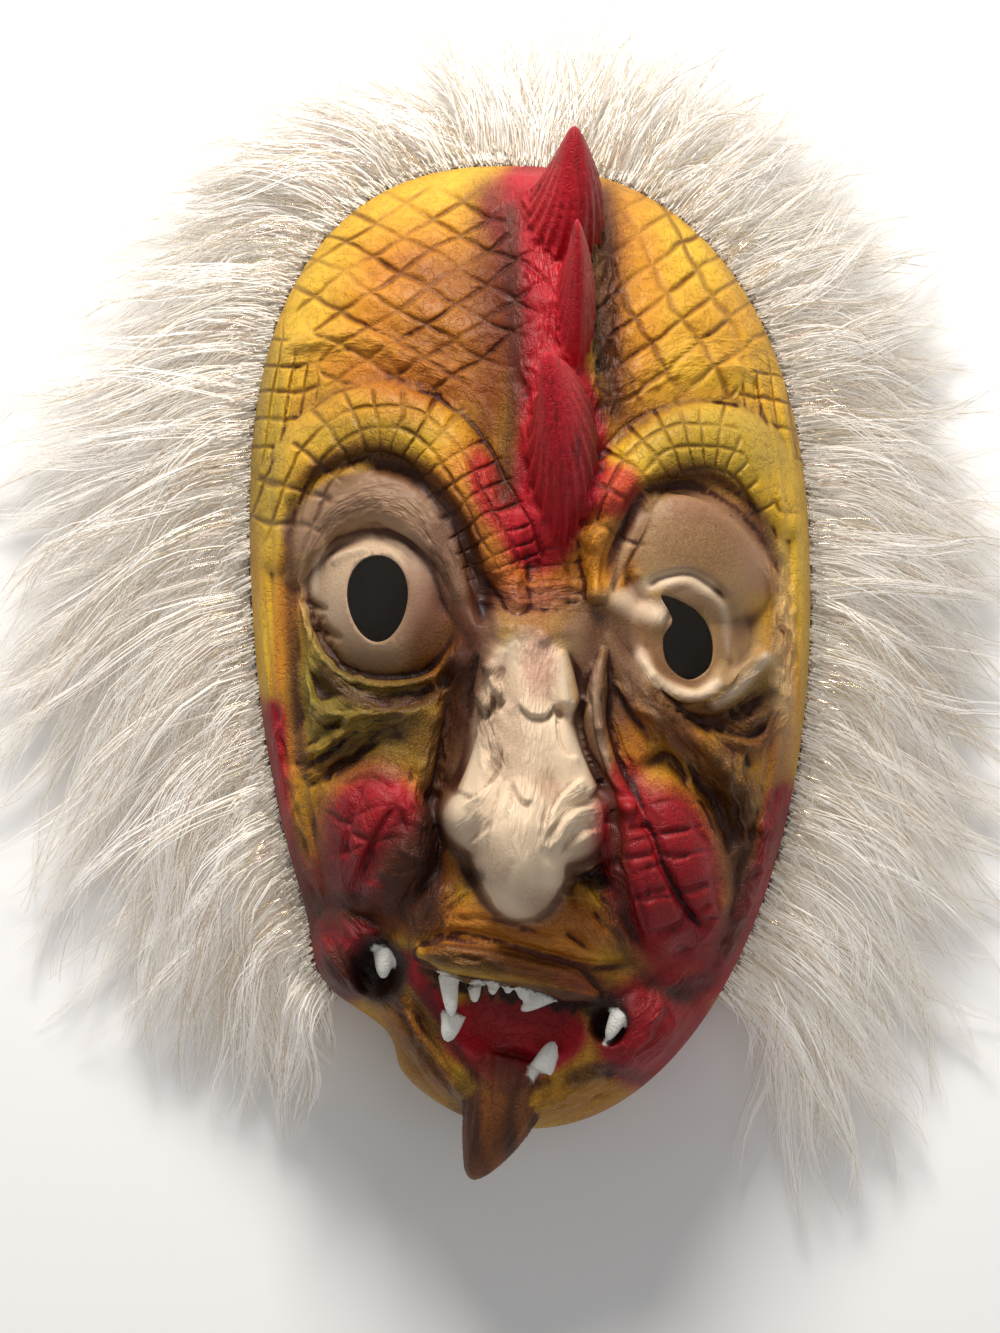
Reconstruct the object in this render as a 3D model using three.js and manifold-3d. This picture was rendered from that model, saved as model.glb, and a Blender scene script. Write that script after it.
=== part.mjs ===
// Rooster mask: a hollow cast latex face with comb, teeth and beak spur, and long-pile fur round its edge.
// It lies on its rim, face up. Millimetres: +X viewer's right, +Y crown, +Z out of the face.
import * as THREE from "three";
import { mergeVertices } from "three/addons/utils/BufferGeometryUtils.js";
import Module from "manifold-3d";

// Driving dimensions of the face
const HALF_WIDTH = 93.5;
const WIDEST_Y = 38.5;
const CROWN_REACH = 131.5;
const JAW_REACH = 190;
const CROWN_POWER = 2.4;
const JAW_POWER = 2.1;
const SIDE_WALL = 46;
const DOME_RISE = 60;
const DOME_FLATNESS = 2.5;
const DOME_FULLNESS = 1.9;
const LATEX_WALL = 2.8;
const BRIDGE_REACH = 6.5;
const PATCH_RADIUS = 2.2;
const PATCH_POINTS = 6;
const RELIEF_MARGIN = 0.04;

// The left wattle stands out past the plan of the face, and the jaw is pinched in below it
const WATTLE_BULGE = 5;
const WATTLE_CENTRE = [-64, -98];
const WATTLE_REACH = 14;
const JAW_PINCH = 7.5;
const PINCH_CENTRE = [-49.5, -118.5];
const PINCH_REACH = 11.5;

// Driving dimensions of the fur
const FUR_GAP = 0.6;
const FUR_HEIGHT = 44;
const LOCK_COUNT = 43;
const LOCK_RIDGE = 0.16;
const NOTCH_LENGTH = 0.66;
const LEFT_JAW = 228;
const RIGHT_JAW = -48;

// Heights that the eye holes are cut between
const HOLE_BOTTOM = -1;
const HOLE_TOP = 200;
const HOLLOW_FLOOR = -5;

// Grid lines of the outer skin and of the hollow, and how far they bunch towards the rim
const RIM_BUNCHING = 0.2;
const SKIN_ACROSS = 46;
const SKIN_UP = 18;
const SKIN_DOWN = 38;
const HOLLOW_ACROSS = 16;
const HOLLOW_UP = 8;
const HOLLOW_DOWN = 15;

// Shortest edge that a cut may leave
const SHORTEST_EDGE = 0.08;

const wasm = await Module();
wasm.setup();

function toSolid(geometry) {
  const bare = geometry.index ? geometry.toNonIndexed() : geometry.clone();
  bare.deleteAttribute("normal");
  bare.deleteAttribute("uv");
  const merged = mergeVertices(bare, 1e-4);
  return new wasm.Manifold(new wasm.Mesh({
    numProp: 3,
    vertProperties: new Float32Array(merged.attributes.position.array),
    triVerts: new Uint32Array(merged.index.array),
  }));
}

// Cuts leave some corners almost on top of each other: each such pair becomes one corner
function toGeometry(solid) {
  const { vertProperties, triVerts } = solid.getMesh();
  const corner = (i) => new THREE.Vector3().fromArray(vertProperties, 3 * i);
  const keeper = Array.from({ length: vertProperties.length / 3 }, (_, i) => i);
  const find = (i) => (keeper[i] === i ? i : find(keeper[i]));
  const faces = [];
  for (let i = 0; i < triVerts.length; i += 3) {
    faces.push([...triVerts.subarray(i, i + 3)]);
  }
  for (const [a, b, c] of faces) {
    for (const [from, to] of [[a, b], [b, c], [c, a]]) {
      if (corner(find(from)).distanceTo(corner(find(to))) < SHORTEST_EDGE) {
        keeper[find(from)] = find(to);
      }
    }
  }
  const kept = faces.map((face) => face.map(find)).filter(([a, b, c]) => a !== b && b !== c && c !== a);
  const geometry = new THREE.BufferGeometry();
  geometry.setAttribute("position", new THREE.Float32BufferAttribute(vertProperties, 3));
  geometry.setIndex(kept.flat());
  return mergeVertices(geometry.toNonIndexed(), 1e-4);
}

function radians(degrees) {
  return degrees * Math.PI / 180;
}

function mix(a, b, share) {
  return a + (b - a) * share;
}

function smoothStep(value) {
  const t = Math.min(Math.max(value, 0), 1);
  return t * t * (3 - 2 * t);
}

// Plan of the face: a squared egg on an axis that bows a little to the viewer's right

function axisX(y) {
  return 3.6 - 0.00018 * (y + 45) ** 2;
}

function sideBulge(x, y) {
  const wattle = Math.hypot(x - WATTLE_CENTRE[0], y - WATTLE_CENTRE[1]) / WATTLE_REACH;
  const pinch = Math.hypot(x - PINCH_CENTRE[0], y - PINCH_CENTRE[1]) / PINCH_REACH;
  return WATTLE_BULGE * Math.exp(-(wattle ** 2)) - JAW_PINCH * Math.exp(-(pinch ** 2));
}

function eggPoint(p, q, inset = 0) {
  const radius = Math.hypot(p, q);
  const power = q > 0 ? CROWN_POWER : JAW_POWER;
  const reach = (q > 0 ? CROWN_REACH : JAW_REACH) - inset;
  const square = radius > 0
    ? radius / (Math.abs(p) ** power + Math.abs(q) ** power) ** (1 / power)
    : 1;
  const y = WIDEST_Y + q * square * reach;
  const x = axisX(y) + p * square * (HALF_WIDTH - inset);
  return [x - sideBulge(x, y), y];
}

function eggShare(x, y) {
  const reach = y > WIDEST_Y ? CROWN_REACH : JAW_REACH;
  const power = y > WIDEST_Y ? CROWN_POWER : JAW_POWER;
  const u = Math.abs(x + sideBulge(x, y) - axisX(y)) / HALF_WIDTH;
  const v = Math.abs(y - WIDEST_Y) / reach;
  return Math.min((u ** power + v ** power) ** (1 / power), 1);
}

// Forms of the relief: each takes a place and the height so far above the dome, and gives the new height

function ovalShare(x, y, centre, size, turn) {
  const c = Math.cos(radians(turn));
  const s = Math.sin(radians(turn));
  const dx = x - centre[0];
  const dy = y - centre[1];
  return Math.hypot((dx * c + dy * s) / size[0], (dy * c - dx * s) / size[1]);
}

function softMax(a, b, soft) {
  const share = Math.min(Math.max(0.5 + 0.5 * (a - b) / soft, 0), 1);
  return mix(b, a, share) + soft * share * (1 - share);
}

// Fall of a round body from its top, as a share of its depth: a circle's arc, then a steep flank
function roundFall(share) {
  return share < 0.95 ? 1 - Math.sqrt(1 - share * share) : 0.688 + 3.6 * (share - 0.95);
}

function swell(centre, size, turn, rise) {
  return (x, y, z) => z + rise * Math.max(1 - ovalShare(x, y, centre, size, turn) ** 2, 0) ** 2;
}

function lump(centre, size, turn, top, deep, soft) {
  return (x, y, z) => softMax(z, top - deep * roundFall(ovalShare(x, y, centre, size, turn)), soft);
}

function bowl(centre, size, turn, bottom, rim, soft) {
  return (x, y, z) => -softMax(-z, -mix(bottom, rim, ovalShare(x, y, centre, size, turn) ** 2.2), soft);
}

function nearestOn(points) {
  const curve = new THREE.CatmullRomCurve3(points.map(([x, y]) => new THREE.Vector3(x, y, 0)));
  const line = curve.getPoints(points.length * 4);
  return (x, y) => {
    const best = { distance: Infinity, share: 0, side: 0 };
    for (let i = 0; i < line.length - 1; i++) {
      const dx = line[i + 1].x - line[i].x;
      const dy = line[i + 1].y - line[i].y;
      const along = ((x - line[i].x) * dx + (y - line[i].y) * dy) / (dx * dx + dy * dy);
      const t = Math.min(Math.max(along, 0), 1);
      const ex = x - line[i].x - t * dx;
      const ey = y - line[i].y - t * dy;
      if (Math.hypot(ex, ey) < best.distance) {
        best.distance = Math.hypot(ex, ey);
        best.share = (i + t) / (line.length - 1);
        best.side = Math.sign(dx * ey - dy * ex);
      }
    }
    return best;
  };
}

function endFade(share, fade) {
  return smoothStep(Math.min(share, 1 - share) / fade + 0.15);
}

// Soft crease or ridge along a line
function fold(points, width, rise) {
  const nearest = nearestOn(points);
  return (x, y, z) => {
    const { distance, share } = nearest(x, y);
    return z + rise * endFade(share, 0.15) * Math.exp(-((distance / width) ** 2));
  };
}

// Round roll of flesh along a line, thinner at its ends
function roll(points, startWidth, endWidth, startTop, endTop, deep, soft, fade = 0.25) {
  const nearest = nearestOn(points);
  return (x, y, z) => {
    const { distance, share } = nearest(x, y);
    const full = endFade(share, fade);
    const width = mix(startWidth, endWidth, share) * mix(0.4, 1, full);
    const top = mix(startTop, endTop, share) - (1 - full) * deep * 0.45;
    return softMax(z, top - deep * roundFall(distance / width), soft);
  };
}

// Free edge of a flap: high on the left of the line's way, low on its right
function flap(points, high, low, reach) {
  const nearest = nearestOn(points);
  return (x, y, z) => {
    const { distance, share, side } = nearest(x, y);
    const onFlap = smoothStep(distance * side / 4 + 0.5);
    const fall = Math.exp(-((distance / reach) ** 1.3));
    return z + endFade(share, 0.2) * fall * mix(-low, high, onFlap);
  };
}

const forehead = [
  fold([[4, 176], [7, 140], [8, 105], [7, 70], [4, 34]], 15, 10),
  fold([[-72, 112], [-46, 103], [-18, 96]], 5, 3),
  fold([[-58, 128], [-34, 118], [-14, 112]], 6, 2),
  fold([[28, 92], [50, 102], [78, 100]], 5.5, 3),
  fold([[24, 104], [46, 118], [70, 118]], 6, 1.5),
  fold([[-82, 112], [-87, 70], [-88, 20], [-83, -20]], 4, 3),
  fold([[86, 100], [92, 60], [93, 10], [88, -44]], 4, 3),
];

const brows = [
  roll([[-82, 40], [-70, 68], [-50, 82], [-31, 77], [-18, 60], [-9, 42], [0, 20]], 15, 9, 9, 11, 12, 6),
  roll([[22, 18], [27, 44], [38, 67], [56, 77], [74, 72], [88, 50]], 10, 13, 11, 9, 12, 5),
  lump([28, 58], [9, 8], 20, 13, 9, 3),
  lump([26, 45], [8, 6], 0, 11, 8, 3),
  swell([1, 16], [24, 22], 0, 6),
];

const leftEye = [
  bowl([-48, 25], [34, 41], 6, -11, 6, 4),
  lump([-46, 22], [24, 24], 6, 3, 14, 4),
  roll([[-76, 38], [-70, 56], [-52, 66], [-36, 58], [-22, 40], [-15, 14]], 4.5, 4.5, 6, 4, 8, 3),
  flap([[-20, 14], [-30, 1], [-46, -2], [-60, 2], [-69, 14], [-73, 32]], 5, 5, 6),
  flap([[-22, 4], [-31, -8], [-50, -12], [-66, -9], [-73, 6]], 4, 5, 6),
  roll([[-73, -30], [-68, -18], [-58, -11], [-44, -12]], 7, 5, 4, 2, 8, 4),
  fold([[-68, -33], [-54, -25], [-38, -17]], 5, -5),
];

const rightEye = [
  bowl([57, 26], [32, 38], -8, -9, 6, 4),
  lump([58, 40], [28, 22], -18, 9, 12, 4),
  lump([54, 12], [21, 20], 0, 2, 9, 4),
  lump([42, 18], [10, 6], 0, 7, 8, 3),
  roll([[36, 10], [46, -3], [58, -8], [70, -2], [82, 11]], 4.5, 5, 4, 6, 9, 3),
  fold([[38, -2], [50, -14], [66, -13], [82, -2]], 4.5, -5),
  roll([[28, 12], [40, -8], [54, -22], [70, -34], [73, -56]], 6.5, 6.5, 4, 5, 9, 4),
  fold([[42, -24], [54, -40], [68, -60]], 6.5, -8),
];

const nose = [
  fold([[1, 22], [-1, -10], [-2, -50]], 22, 9),
  fold([[-25, 6], [-31, -24], [-35, -50], [-31, -74]], 7, -7),
  roll([[1, 16], [0, -8], [0, -32], [-1, -60]], 13, 15, 13, 33, 24, 4, 0.1),
  lump([-1, -58], [14, 21], 0, 38, 30, 4),
  lump([-16, -49], [10, 14], 10, 26, 22, 3),
  lump([20, -52], [11, 15], -12, 25, 22, 3),
  lump([11, -6], [8, 9], 0, 16, 9, 3),
  lump([-9, -9], [8, 9], 0, 15, 9, 3),
  roll([[26, 8], [22, -18], [30, -38]], 4.5, 5, 8, 8, 9, 3),
];

const cheeks = [
  lump([-49, -52], [20, 26], 0, 11, 17, 4),
  fold([[-37, -44], [-48, -60], [-56, -76]], 3, -3),
  lump([37, -59], [29, 11], -75, 12, 15, 3),
  lump([52, -54], [27, 11], -70, 11, 14, 3),
  roll([[-84, -8], [-80, -40], [-68, -76]], 5, 9, 4, 3, 9, 3),
  roll([[85, -40], [80, -68], [66, -98]], 6, 10, 5, 6, 10, 3),
];

const mouth = [
  lump([-1, -82], [38, 19], 0, 10, 12, 6),
  bowl([-3, -113], [30, 19], -8, -14, 8, 3),
  bowl([-3, -130], [13, 16], 0, -12, 4, 3),
  roll([[-37, -89], [-16, -92], [6, -96], [22, -103], [42, -104]], 6, 6.5, 13, 11, 12, 3),
  lump([-60, -93], [17, 18], 0, 10, 20, 3),
  bowl([-47, -97], [10, 13], 0, -10, 6, 3),
  lump([40, -119], [20, 16], 40, 9, 16, 3),
  bowl([27, -115], [8, 8], 0, -8, 6, 3),
  roll([[-46, -110], [-32, -124], [-14, -144]], 6, 7, 4, 5, 8, 4),
  roll([[28, -130], [12, -140], [-4, -147]], 6, 7, 4, 5, 8, 4),
];

const forms = [...forehead, ...brows, ...leftEye, ...rightEye, ...nose, ...cheeks, ...mouth];

function domeHeight(x, y) {
  const fall = Math.max(1 - eggShare(x, y) ** DOME_FLATNESS, 0);
  return SIDE_WALL + DOME_RISE * fall ** (1 / DOME_FULLNESS);
}

function reliefHeight(x, y) {
  return smoothStep((1 - eggShare(x, y)) / RELIEF_MARGIN) * forms.reduce((z, form) => form(x, y, z), 0);
}

// The mean over a small patch keeps folds that are narrower than a cell from breaking up
function skinHeight(x, y) {
  let sum = 2 * reliefHeight(x, y);
  for (let i = 0; i < PATCH_POINTS; i++) {
    const angle = 2 * Math.PI * i / PATCH_POINTS;
    sum += reliefHeight(x + PATCH_RADIUS * Math.cos(angle), y + PATCH_RADIUS * Math.sin(angle));
  }
  return domeHeight(x, y) + sum / (PATCH_POINTS + 2);
}

// Lowest underside of a ball of the given radius rolled over the places within reach
function lowestNear(height, x, y, reach, radius) {
  let lowest = height(x, y) - radius;
  for (const share of [0.5, 1]) {
    const drop = Math.sqrt(Math.max(radius ** 2 - (share * reach) ** 2, 0));
    for (let i = 0; i < 8; i++) {
      const angle = Math.PI * i / 4;
      const px = x + share * reach * Math.cos(angle);
      const py = y + share * reach * Math.sin(angle);
      lowest = Math.min(lowest, height(px, py) - drop);
    }
  }
  return lowest;
}

// The inside follows the dome at wall thickness and bridges the narrow forms, as poured latex does
function hollowHeight(x, y) {
  const dome = lowestNear(domeHeight, x, y, 0.97 * LATEX_WALL, LATEX_WALL);
  const relief = lowestNear(reliefHeight, x, y, BRIDGE_REACH, 0);
  return dome + relief;
}

// Grid over the egg: lines bunch a little towards the rim, where the skin turns down
function gridToEgg(a, b, inset) {
  const p = a * Math.sqrt(1 - b * b / 2);
  const q = b * Math.sqrt(1 - a * a / 2);
  const radius = Math.hypot(p, q);
  const bunched = mix(radius, Math.sin(radius * Math.PI / 2), RIM_BUNCHING);
  const k = radius > 0 ? bunched / radius : 1;
  return eggPoint(p * k, q * k, inset);
}

function reliefBlock(across, up, down, inset, floor, height) {
  const rows = up + down;
  const block = new THREE.BoxGeometry(2, rows, 1, across, rows, 1);
  const position = block.attributes.position;
  for (let i = 0; i < position.count; i++) {
    const a = position.getX(i);
    const line = position.getY(i) + rows / 2 - down;
    const b = line > 0 ? line / up : line / down;
    const [x, y] = gridToEgg(a, b, inset);
    position.setXYZ(i, x, y, position.getZ(i) > 0 ? height(x, y) : floor);
  }
  turnDiagonals(block.index, position);
  return toSolid(block);
}

// Each cell is split along the diagonal whose ends are nearer in height, so that ridges stay whole
function turnDiagonals(index, position) {
  for (let i = 0; i < index.count; i += 6) {
    const [a, b, d, , c] = index.array.subarray(i, i + 6);
    const kept = Math.abs(position.getZ(b) - position.getZ(d));
    const other = Math.abs(position.getZ(a) - position.getZ(c));
    if (other < kept) {
      index.array.set([a, b, c, a, c, d], i);
    }
  }
}

// Eye holes

function prism(outlinePoints, bottom, top) {
  const shape = new THREE.Shape(outlinePoints.map(([x, y]) => new THREE.Vector2(x, y)));
  const geometry = new THREE.ExtrudeGeometry(shape, { depth: top - bottom, bevelEnabled: false });
  geometry.translate(0, 0, bottom);
  return toSolid(geometry);
}

function eggHole(centre, size, count) {
  const points = [];
  for (let i = 0; i < count; i++) {
    const angle = 2 * Math.PI * i / count;
    const wide = size[0] * (1 + 0.12 * Math.sin(angle));
    points.push([centre[0] + wide * Math.cos(angle), centre[1] + size[1] * Math.sin(angle)]);
  }
  return points;
}

function curvedHole(points, count) {
  const curve = new THREE.CatmullRomCurve3(points.map(([x, y]) => new THREE.Vector3(x, y, 0)), true);
  return curve.getPoints(count).slice(0, count).map((p) => [p.x, p.y]);
}

// Horns: comb fins, teeth and the spur are tapered bodies with oval sections

function horn({ base, tip, lean, alongAxis, acrossAxis, along, across, taper, ribs = 0, sides, steps }) {
  const body = new THREE.CylinderGeometry(1, 1, 1, sides, steps);
  const position = body.attributes.position;
  const from = new THREE.Vector3(...base);
  const to = new THREE.Vector3(...tip);
  const bow = new THREE.Vector3(...lean);
  const long = new THREE.Vector3(...alongAxis).normalize();
  const short = new THREE.Vector3(...acrossAxis).normalize();
  if (long.clone().cross(to.clone().sub(from)).dot(short) < 0) {
    short.negate();
  }
  for (let i = 0; i < position.count; i++) {
    const share = position.getY(i) + 0.5;
    const radius = Math.hypot(position.getX(i), position.getZ(i));
    const angle = Math.atan2(position.getZ(i), position.getX(i));
    const rib = 1 - ribs * (Math.round(angle * sides / (2 * Math.PI)) & 1);
    const round = Math.sqrt(Math.max(1 - share ** 6, 0.02));
    const size = radius * rib * mix(1, taper, share) * round;
    const point = from.clone().lerp(to, share).addScaledVector(bow, Math.sin(Math.PI * share));
    point.addScaledVector(long, along * size * Math.cos(angle));
    point.addScaledVector(short, across * size * Math.sin(angle));
    position.setXYZ(i, point.x, point.y, point.z);
  }
  return toSolid(body);
}

function combFins() {
  const fins = [
    { base: [9, 144, 66], tip: [16.7, 178, 112], lean: [0, -3, 2], slope: 42, along: 25, across: 12 },
    { base: [12, 108, 84], tip: [16.3, 144, 134], lean: [1, -4, 2], slope: 24, along: 28, across: 9 },
    { base: [7, 68, 96], tip: [6.5, 101, 147], lean: [3, -5, 3], slope: 4, along: 31, across: 12 },
  ];
  return fins.map(({ slope, ...fin }) => horn({
    ...fin,
    alongAxis: [0, Math.cos(radians(slope)), -Math.sin(radians(slope))],
    acrossAxis: [1, 0, 0],
    taper: 0.24,
    ribs: 0.14,
    sides: 14,
    steps: 4,
  }));
}

function tooth([x, y], length, width, heading, lift = 0) {
  const dx = Math.cos(radians(heading));
  const dy = Math.sin(radians(heading));
  const z = skinHeight(x, y) + lift;
  return horn({
    base: [x - dx * length / 2, y - dy * length / 2, z],
    tip: [x + dx * length / 2, y + dy * length / 2, z + 1],
    lean: [0, 0, 1],
    alongAxis: [-dy, dx, 0],
    acrossAxis: [0, 0, 1],
    along: width / 2,
    across: width / 2,
    taper: 0.55,
    sides: 5,
    steps: 3,
  });
}

function teeth() {
  return [
    tooth([-46, -94], 13, 8, 268, 2),
    tooth([-24, -105.5], 14, 7, 275, 4),
    tooth([-24, -116], 10, 8.5, 255, 2),
    tooth([-16, -105], 6, 5, 270, 4),
    tooth([4, -107.5], 12, 6.5, 210, 4),
    tooth([30.5, -114], 14, 7.5, 245, 4),
    tooth([8, -125.5], 11, 8, 65),
  ];
}

function spur() {
  return horn({
    base: [-5, -126, 62],
    tip: [-15, -168, 56],
    lean: [2.5, 0, 6],
    alongAxis: [1, -0.25, 0],
    acrossAxis: [0, 0, 1],
    along: 17,
    across: 13,
    taper: 0.45,
    sides: 10,
    steps: 5,
  });
}

function latexFace() {
  let face = reliefBlock(SKIN_ACROSS, SKIN_UP, SKIN_DOWN, 0, 0, skinHeight);
  for (const part of [...combFins(), spur(), ...teeth()]) {
    face = face.add(part);
  }
  const hollow = reliefBlock(HOLLOW_ACROSS, HOLLOW_UP, HOLLOW_DOWN, LATEX_WALL, HOLLOW_FLOOR, hollowHeight);
  const leftHole = prism(eggHole([-47.7, 25], [10, 14.2], 20), HOLE_BOTTOM, HOLE_TOP);
  const rightHole = prism(curvedHole([
    [45, 26], [56, 21.5], [61.5, 13], [61, 3], [54, -1.5], [47, 3.5], [45.5, 12], [48.5, 18],
  ], 22), HOLE_BOTTOM, HOLE_TOP);
  return toGeometry(face.subtract(hollow).subtract(leftHole).subtract(rightHole));
}

// Fur: one fan of locks round the side wall, from the left jaw over the crown to the right jaw

// Lie of the pile on the way from jaw to jaw: share of the way, heading in degrees, length of the pile
const PILE = [
  [0, 268, 52], [0.08, 252, 104], [0.16, 240, 142], [0.24, 222, 118], [0.32, 204, 92],
  [0.4, 184, 80], [0.46, 156, 62], [0.5, 104, 52], [0.56, 60, 62], [0.64, 28, 66],
  [0.72, -2, 76], [0.8, -22, 90], [0.88, -46, 110], [0.95, -62, 130], [1, -76, 143],
];

// Profile of the fan from the rim's foot over the pile to the tips and back: share of the length, height
const FAN = [
  [0, 0], [0, 1], [0.1, 1], [0.3, 0.78], [0.55, 0.5], [0.8, 0.28], [1, 0.14], [1, 0.03], [0.3, 0],
];

function pileAt(share) {
  const next = Math.max(PILE.findIndex(([end]) => end >= share), 1);
  const [start, startHeading, startLength] = PILE[next - 1];
  const [end, endHeading, endLength] = PILE[next];
  const t = (share - start) / (end - start);
  return [mix(startHeading, endHeading, smoothStep(t)), mix(startLength, endLength, t)];
}

function rimPoint(share, outset) {
  const angle = radians(mix(LEFT_JAW, RIGHT_JAW, share));
  return eggPoint(Math.cos(angle), Math.sin(angle), -outset);
}

// One line of pile: odd lines run down the middle of a lock to its tip, even ones into a notch
function pileLine(line, lines) {
  const share = line / (lines - 1);
  const onLock = line % 2 === 1;
  const [heading, length] = pileAt(share);
  const lock = Math.floor(line / 2);
  const tipShare = 0.94 + 0.06 * Math.cos(lock * 2.3);
  const notchShare = NOTCH_LENGTH + 0.08 * Math.sin(lock * 1.9);
  const reach = length * (onLock ? tipShare : notchShare);
  const turn = radians(heading + (onLock ? 4 * Math.sin(lock * 3.1) : 0));
  const [x, y] = rimPoint(share, FUR_GAP);
  const plump = smoothStep(Math.min(share, 1 - share) * 14 + 0.35);
  return FAN.map(([out, high]) => {
    const ridge = out > 0 ? (onLock ? LOCK_RIDGE : -LOCK_RIDGE) * (1 - out) : 0;
    const bend = 0.1 * reach * out * out * Math.sin(lock * 1.3);
    return [
      x + out * reach * Math.cos(turn) - bend * Math.sin(turn),
      y + out * reach * Math.sin(turn) + bend * Math.cos(turn),
      FUR_HEIGHT * plump * (high + ridge * high),
    ];
  });
}

function furTrim() {
  const lines = 2 * LOCK_COUNT + 1;
  const sides = FAN.length;
  const positions = [];
  const index = [];
  for (let i = 0; i < lines; i++) {
    positions.push(...pileLine(i, lines).flat());
  }
  for (let i = 0; i < lines - 1; i++) {
    for (let j = 0; j < sides; j++) {
      const a = i * sides + j;
      const b = i * sides + (j + 1) % sides;
      index.push(a, a + sides, b, b, a + sides, b + sides);
    }
  }
  const last = (lines - 1) * sides;
  const section = FAN.map(([out, high]) => new THREE.Vector2(out, high));
  for (const [a, b, c] of THREE.ShapeUtils.triangulateShape(section, [])) {
    index.push(a, c, b);
    index.push(last + a, last + b, last + c);
  }
  const fan = new THREE.BufferGeometry();
  fan.setAttribute("position", new THREE.Float32BufferAttribute(positions, 3));
  fan.setIndex(index);
  return toGeometry(toSolid(fan));
}

function named(name, geometry, finish) {
  geometry.computeVertexNormals();
  const mesh = new THREE.Mesh(geometry, new THREE.MeshStandardMaterial(finish));
  mesh.name = name;
  return mesh;
}

const group = new THREE.Group();
group.add(named("latex_face", latexFace(), { color: 0xc8912f, roughness: 0.5, metalness: 0 }));
group.add(named("fur_trim", furTrim(), { color: 0xe6e0d4, roughness: 0.85, metalness: 0 }));

export default group;
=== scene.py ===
# %% [markdown]
# # Rooster mask
# A costume mask: one hollow latex casting with an airbrushed rooster face, and long white pile glued
# round its edge. It lies on its rim and the camera looks straight down on it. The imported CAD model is
# the frame: it sets where everything is and how large. This script gives the casting its fine relief
# and its paint, and the fur its hair.

# %% Frame
import math

import bpy
import numpy as np
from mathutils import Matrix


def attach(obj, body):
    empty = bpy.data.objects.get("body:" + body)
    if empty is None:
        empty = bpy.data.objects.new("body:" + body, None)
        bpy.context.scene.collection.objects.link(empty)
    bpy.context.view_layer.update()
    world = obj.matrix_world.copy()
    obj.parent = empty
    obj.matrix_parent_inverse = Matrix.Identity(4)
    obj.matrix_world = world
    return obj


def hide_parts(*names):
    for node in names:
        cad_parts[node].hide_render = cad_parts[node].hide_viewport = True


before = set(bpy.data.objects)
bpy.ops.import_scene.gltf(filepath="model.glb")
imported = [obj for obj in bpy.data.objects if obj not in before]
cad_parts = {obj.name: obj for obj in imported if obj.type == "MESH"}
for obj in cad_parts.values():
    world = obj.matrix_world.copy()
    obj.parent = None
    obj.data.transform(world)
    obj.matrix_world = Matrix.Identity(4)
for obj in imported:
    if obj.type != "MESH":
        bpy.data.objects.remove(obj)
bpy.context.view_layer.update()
MM = 0.001

# %% [markdown]
# ## Camera, light and floor
# A picture of a face taken from a few steps away has almost no perspective, so a long lens stands far
# above the mask. At the height of the cheeks a pixel of the 1000 x 1333 picture is a third of a
# millimetre. One large soft lamp beyond the crown lights the face from above, as a ceiling would, and
# a pale world fills the shadows.

# %% Camera
PICTURE_HEIGHT = 1333 / 3 * MM
PICTURE_CENTRE = (-7.67 * MM, 2.83 * MM)
CHEEK_LEVEL = 50 * MM
CAMERA_RISE = 2.4
scene = bpy.context.scene
camera = bpy.data.objects.new("camera", bpy.data.cameras.new("camera"))
camera.data.sensor_width = 36
camera.data.lens = camera.data.sensor_width * CAMERA_RISE / PICTURE_HEIGHT
camera.data.clip_end = 20
camera.location = (*PICTURE_CENTRE, CHEEK_LEVEL + CAMERA_RISE)
scene.collection.objects.link(camera)
scene.camera = camera
scene.view_settings.view_transform = "Standard"
print("lens:", round(camera.data.lens), "mm")


# %% Lamps, world and floor
def add_lamp(name, place, size, watts, colour):
    lamp = bpy.data.objects.new(name, bpy.data.lights.new(name, "AREA"))
    lamp.data.shape = "DISK"
    lamp.data.size = size
    lamp.data.energy = watts
    lamp.data.color = colour
    lamp.location = place
    aim = -lamp.location.normalized()
    lamp.rotation_euler = aim.to_track_quat("-Z", "Y").to_euler()
    scene.collection.objects.link(lamp)
    return lamp


add_lamp("ceiling lamp", (-0.12, 1.35, 1.0), size=0.65, watts=36, colour=(1.0, 0.955, 0.9))
add_lamp("front lamp", (0.35, -0.3, 1.9), size=1.4, watts=3.6, colour=(0.98, 0.98, 1.0))
ROOM_LIGHT = 0.27
world = bpy.data.worlds.new("pale room")
scene.world = world
world.use_nodes = True
background = world.node_tree.nodes["Background"].inputs
background["Color"].default_value = (1, 1, 1, 1)
background["Strength"].default_value = ROOM_LIGHT

FLOOR_REACH, FLOOR_DROP = 4, 0.4 * MM
floor_corners = [(FLOOR_REACH * a, FLOOR_REACH * b, 0) for a, b in ((-1, -1), (1, -1), (1, 1), (-1, 1))]
floor_mesh = bpy.data.meshes.new("floor")
floor_mesh.from_pydata(floor_corners, [], [(0, 1, 2, 3)])
floor = bpy.data.objects.new("floor", floor_mesh)
floor.location.z = -FLOOR_DROP
scene.collection.objects.link(floor)
floor_paint = bpy.data.materials.new("pale floor")
floor_paint.use_nodes = True
floor_shader = floor_paint.node_tree.nodes["Principled BSDF"].inputs
floor_shader["Base Color"].default_value = (0.96, 0.96, 0.96, 1)
floor_shader["Roughness"].default_value = 0.8
floor_mesh.materials.append(floor_paint)
print("stage:", floor.name)


# %% [markdown]
# ## Small helpers
# Everything is worked out in millimetres with numpy, on all the points at once, and turned into
# metres when it becomes a mesh.

# %% Numbers and meshes
def mix(a, b, share):
    return a + (b - a) * share


def smooth_step(value):
    t = np.clip(value, 0, 1)
    return t * t * (3 - 2 * t)


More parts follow.
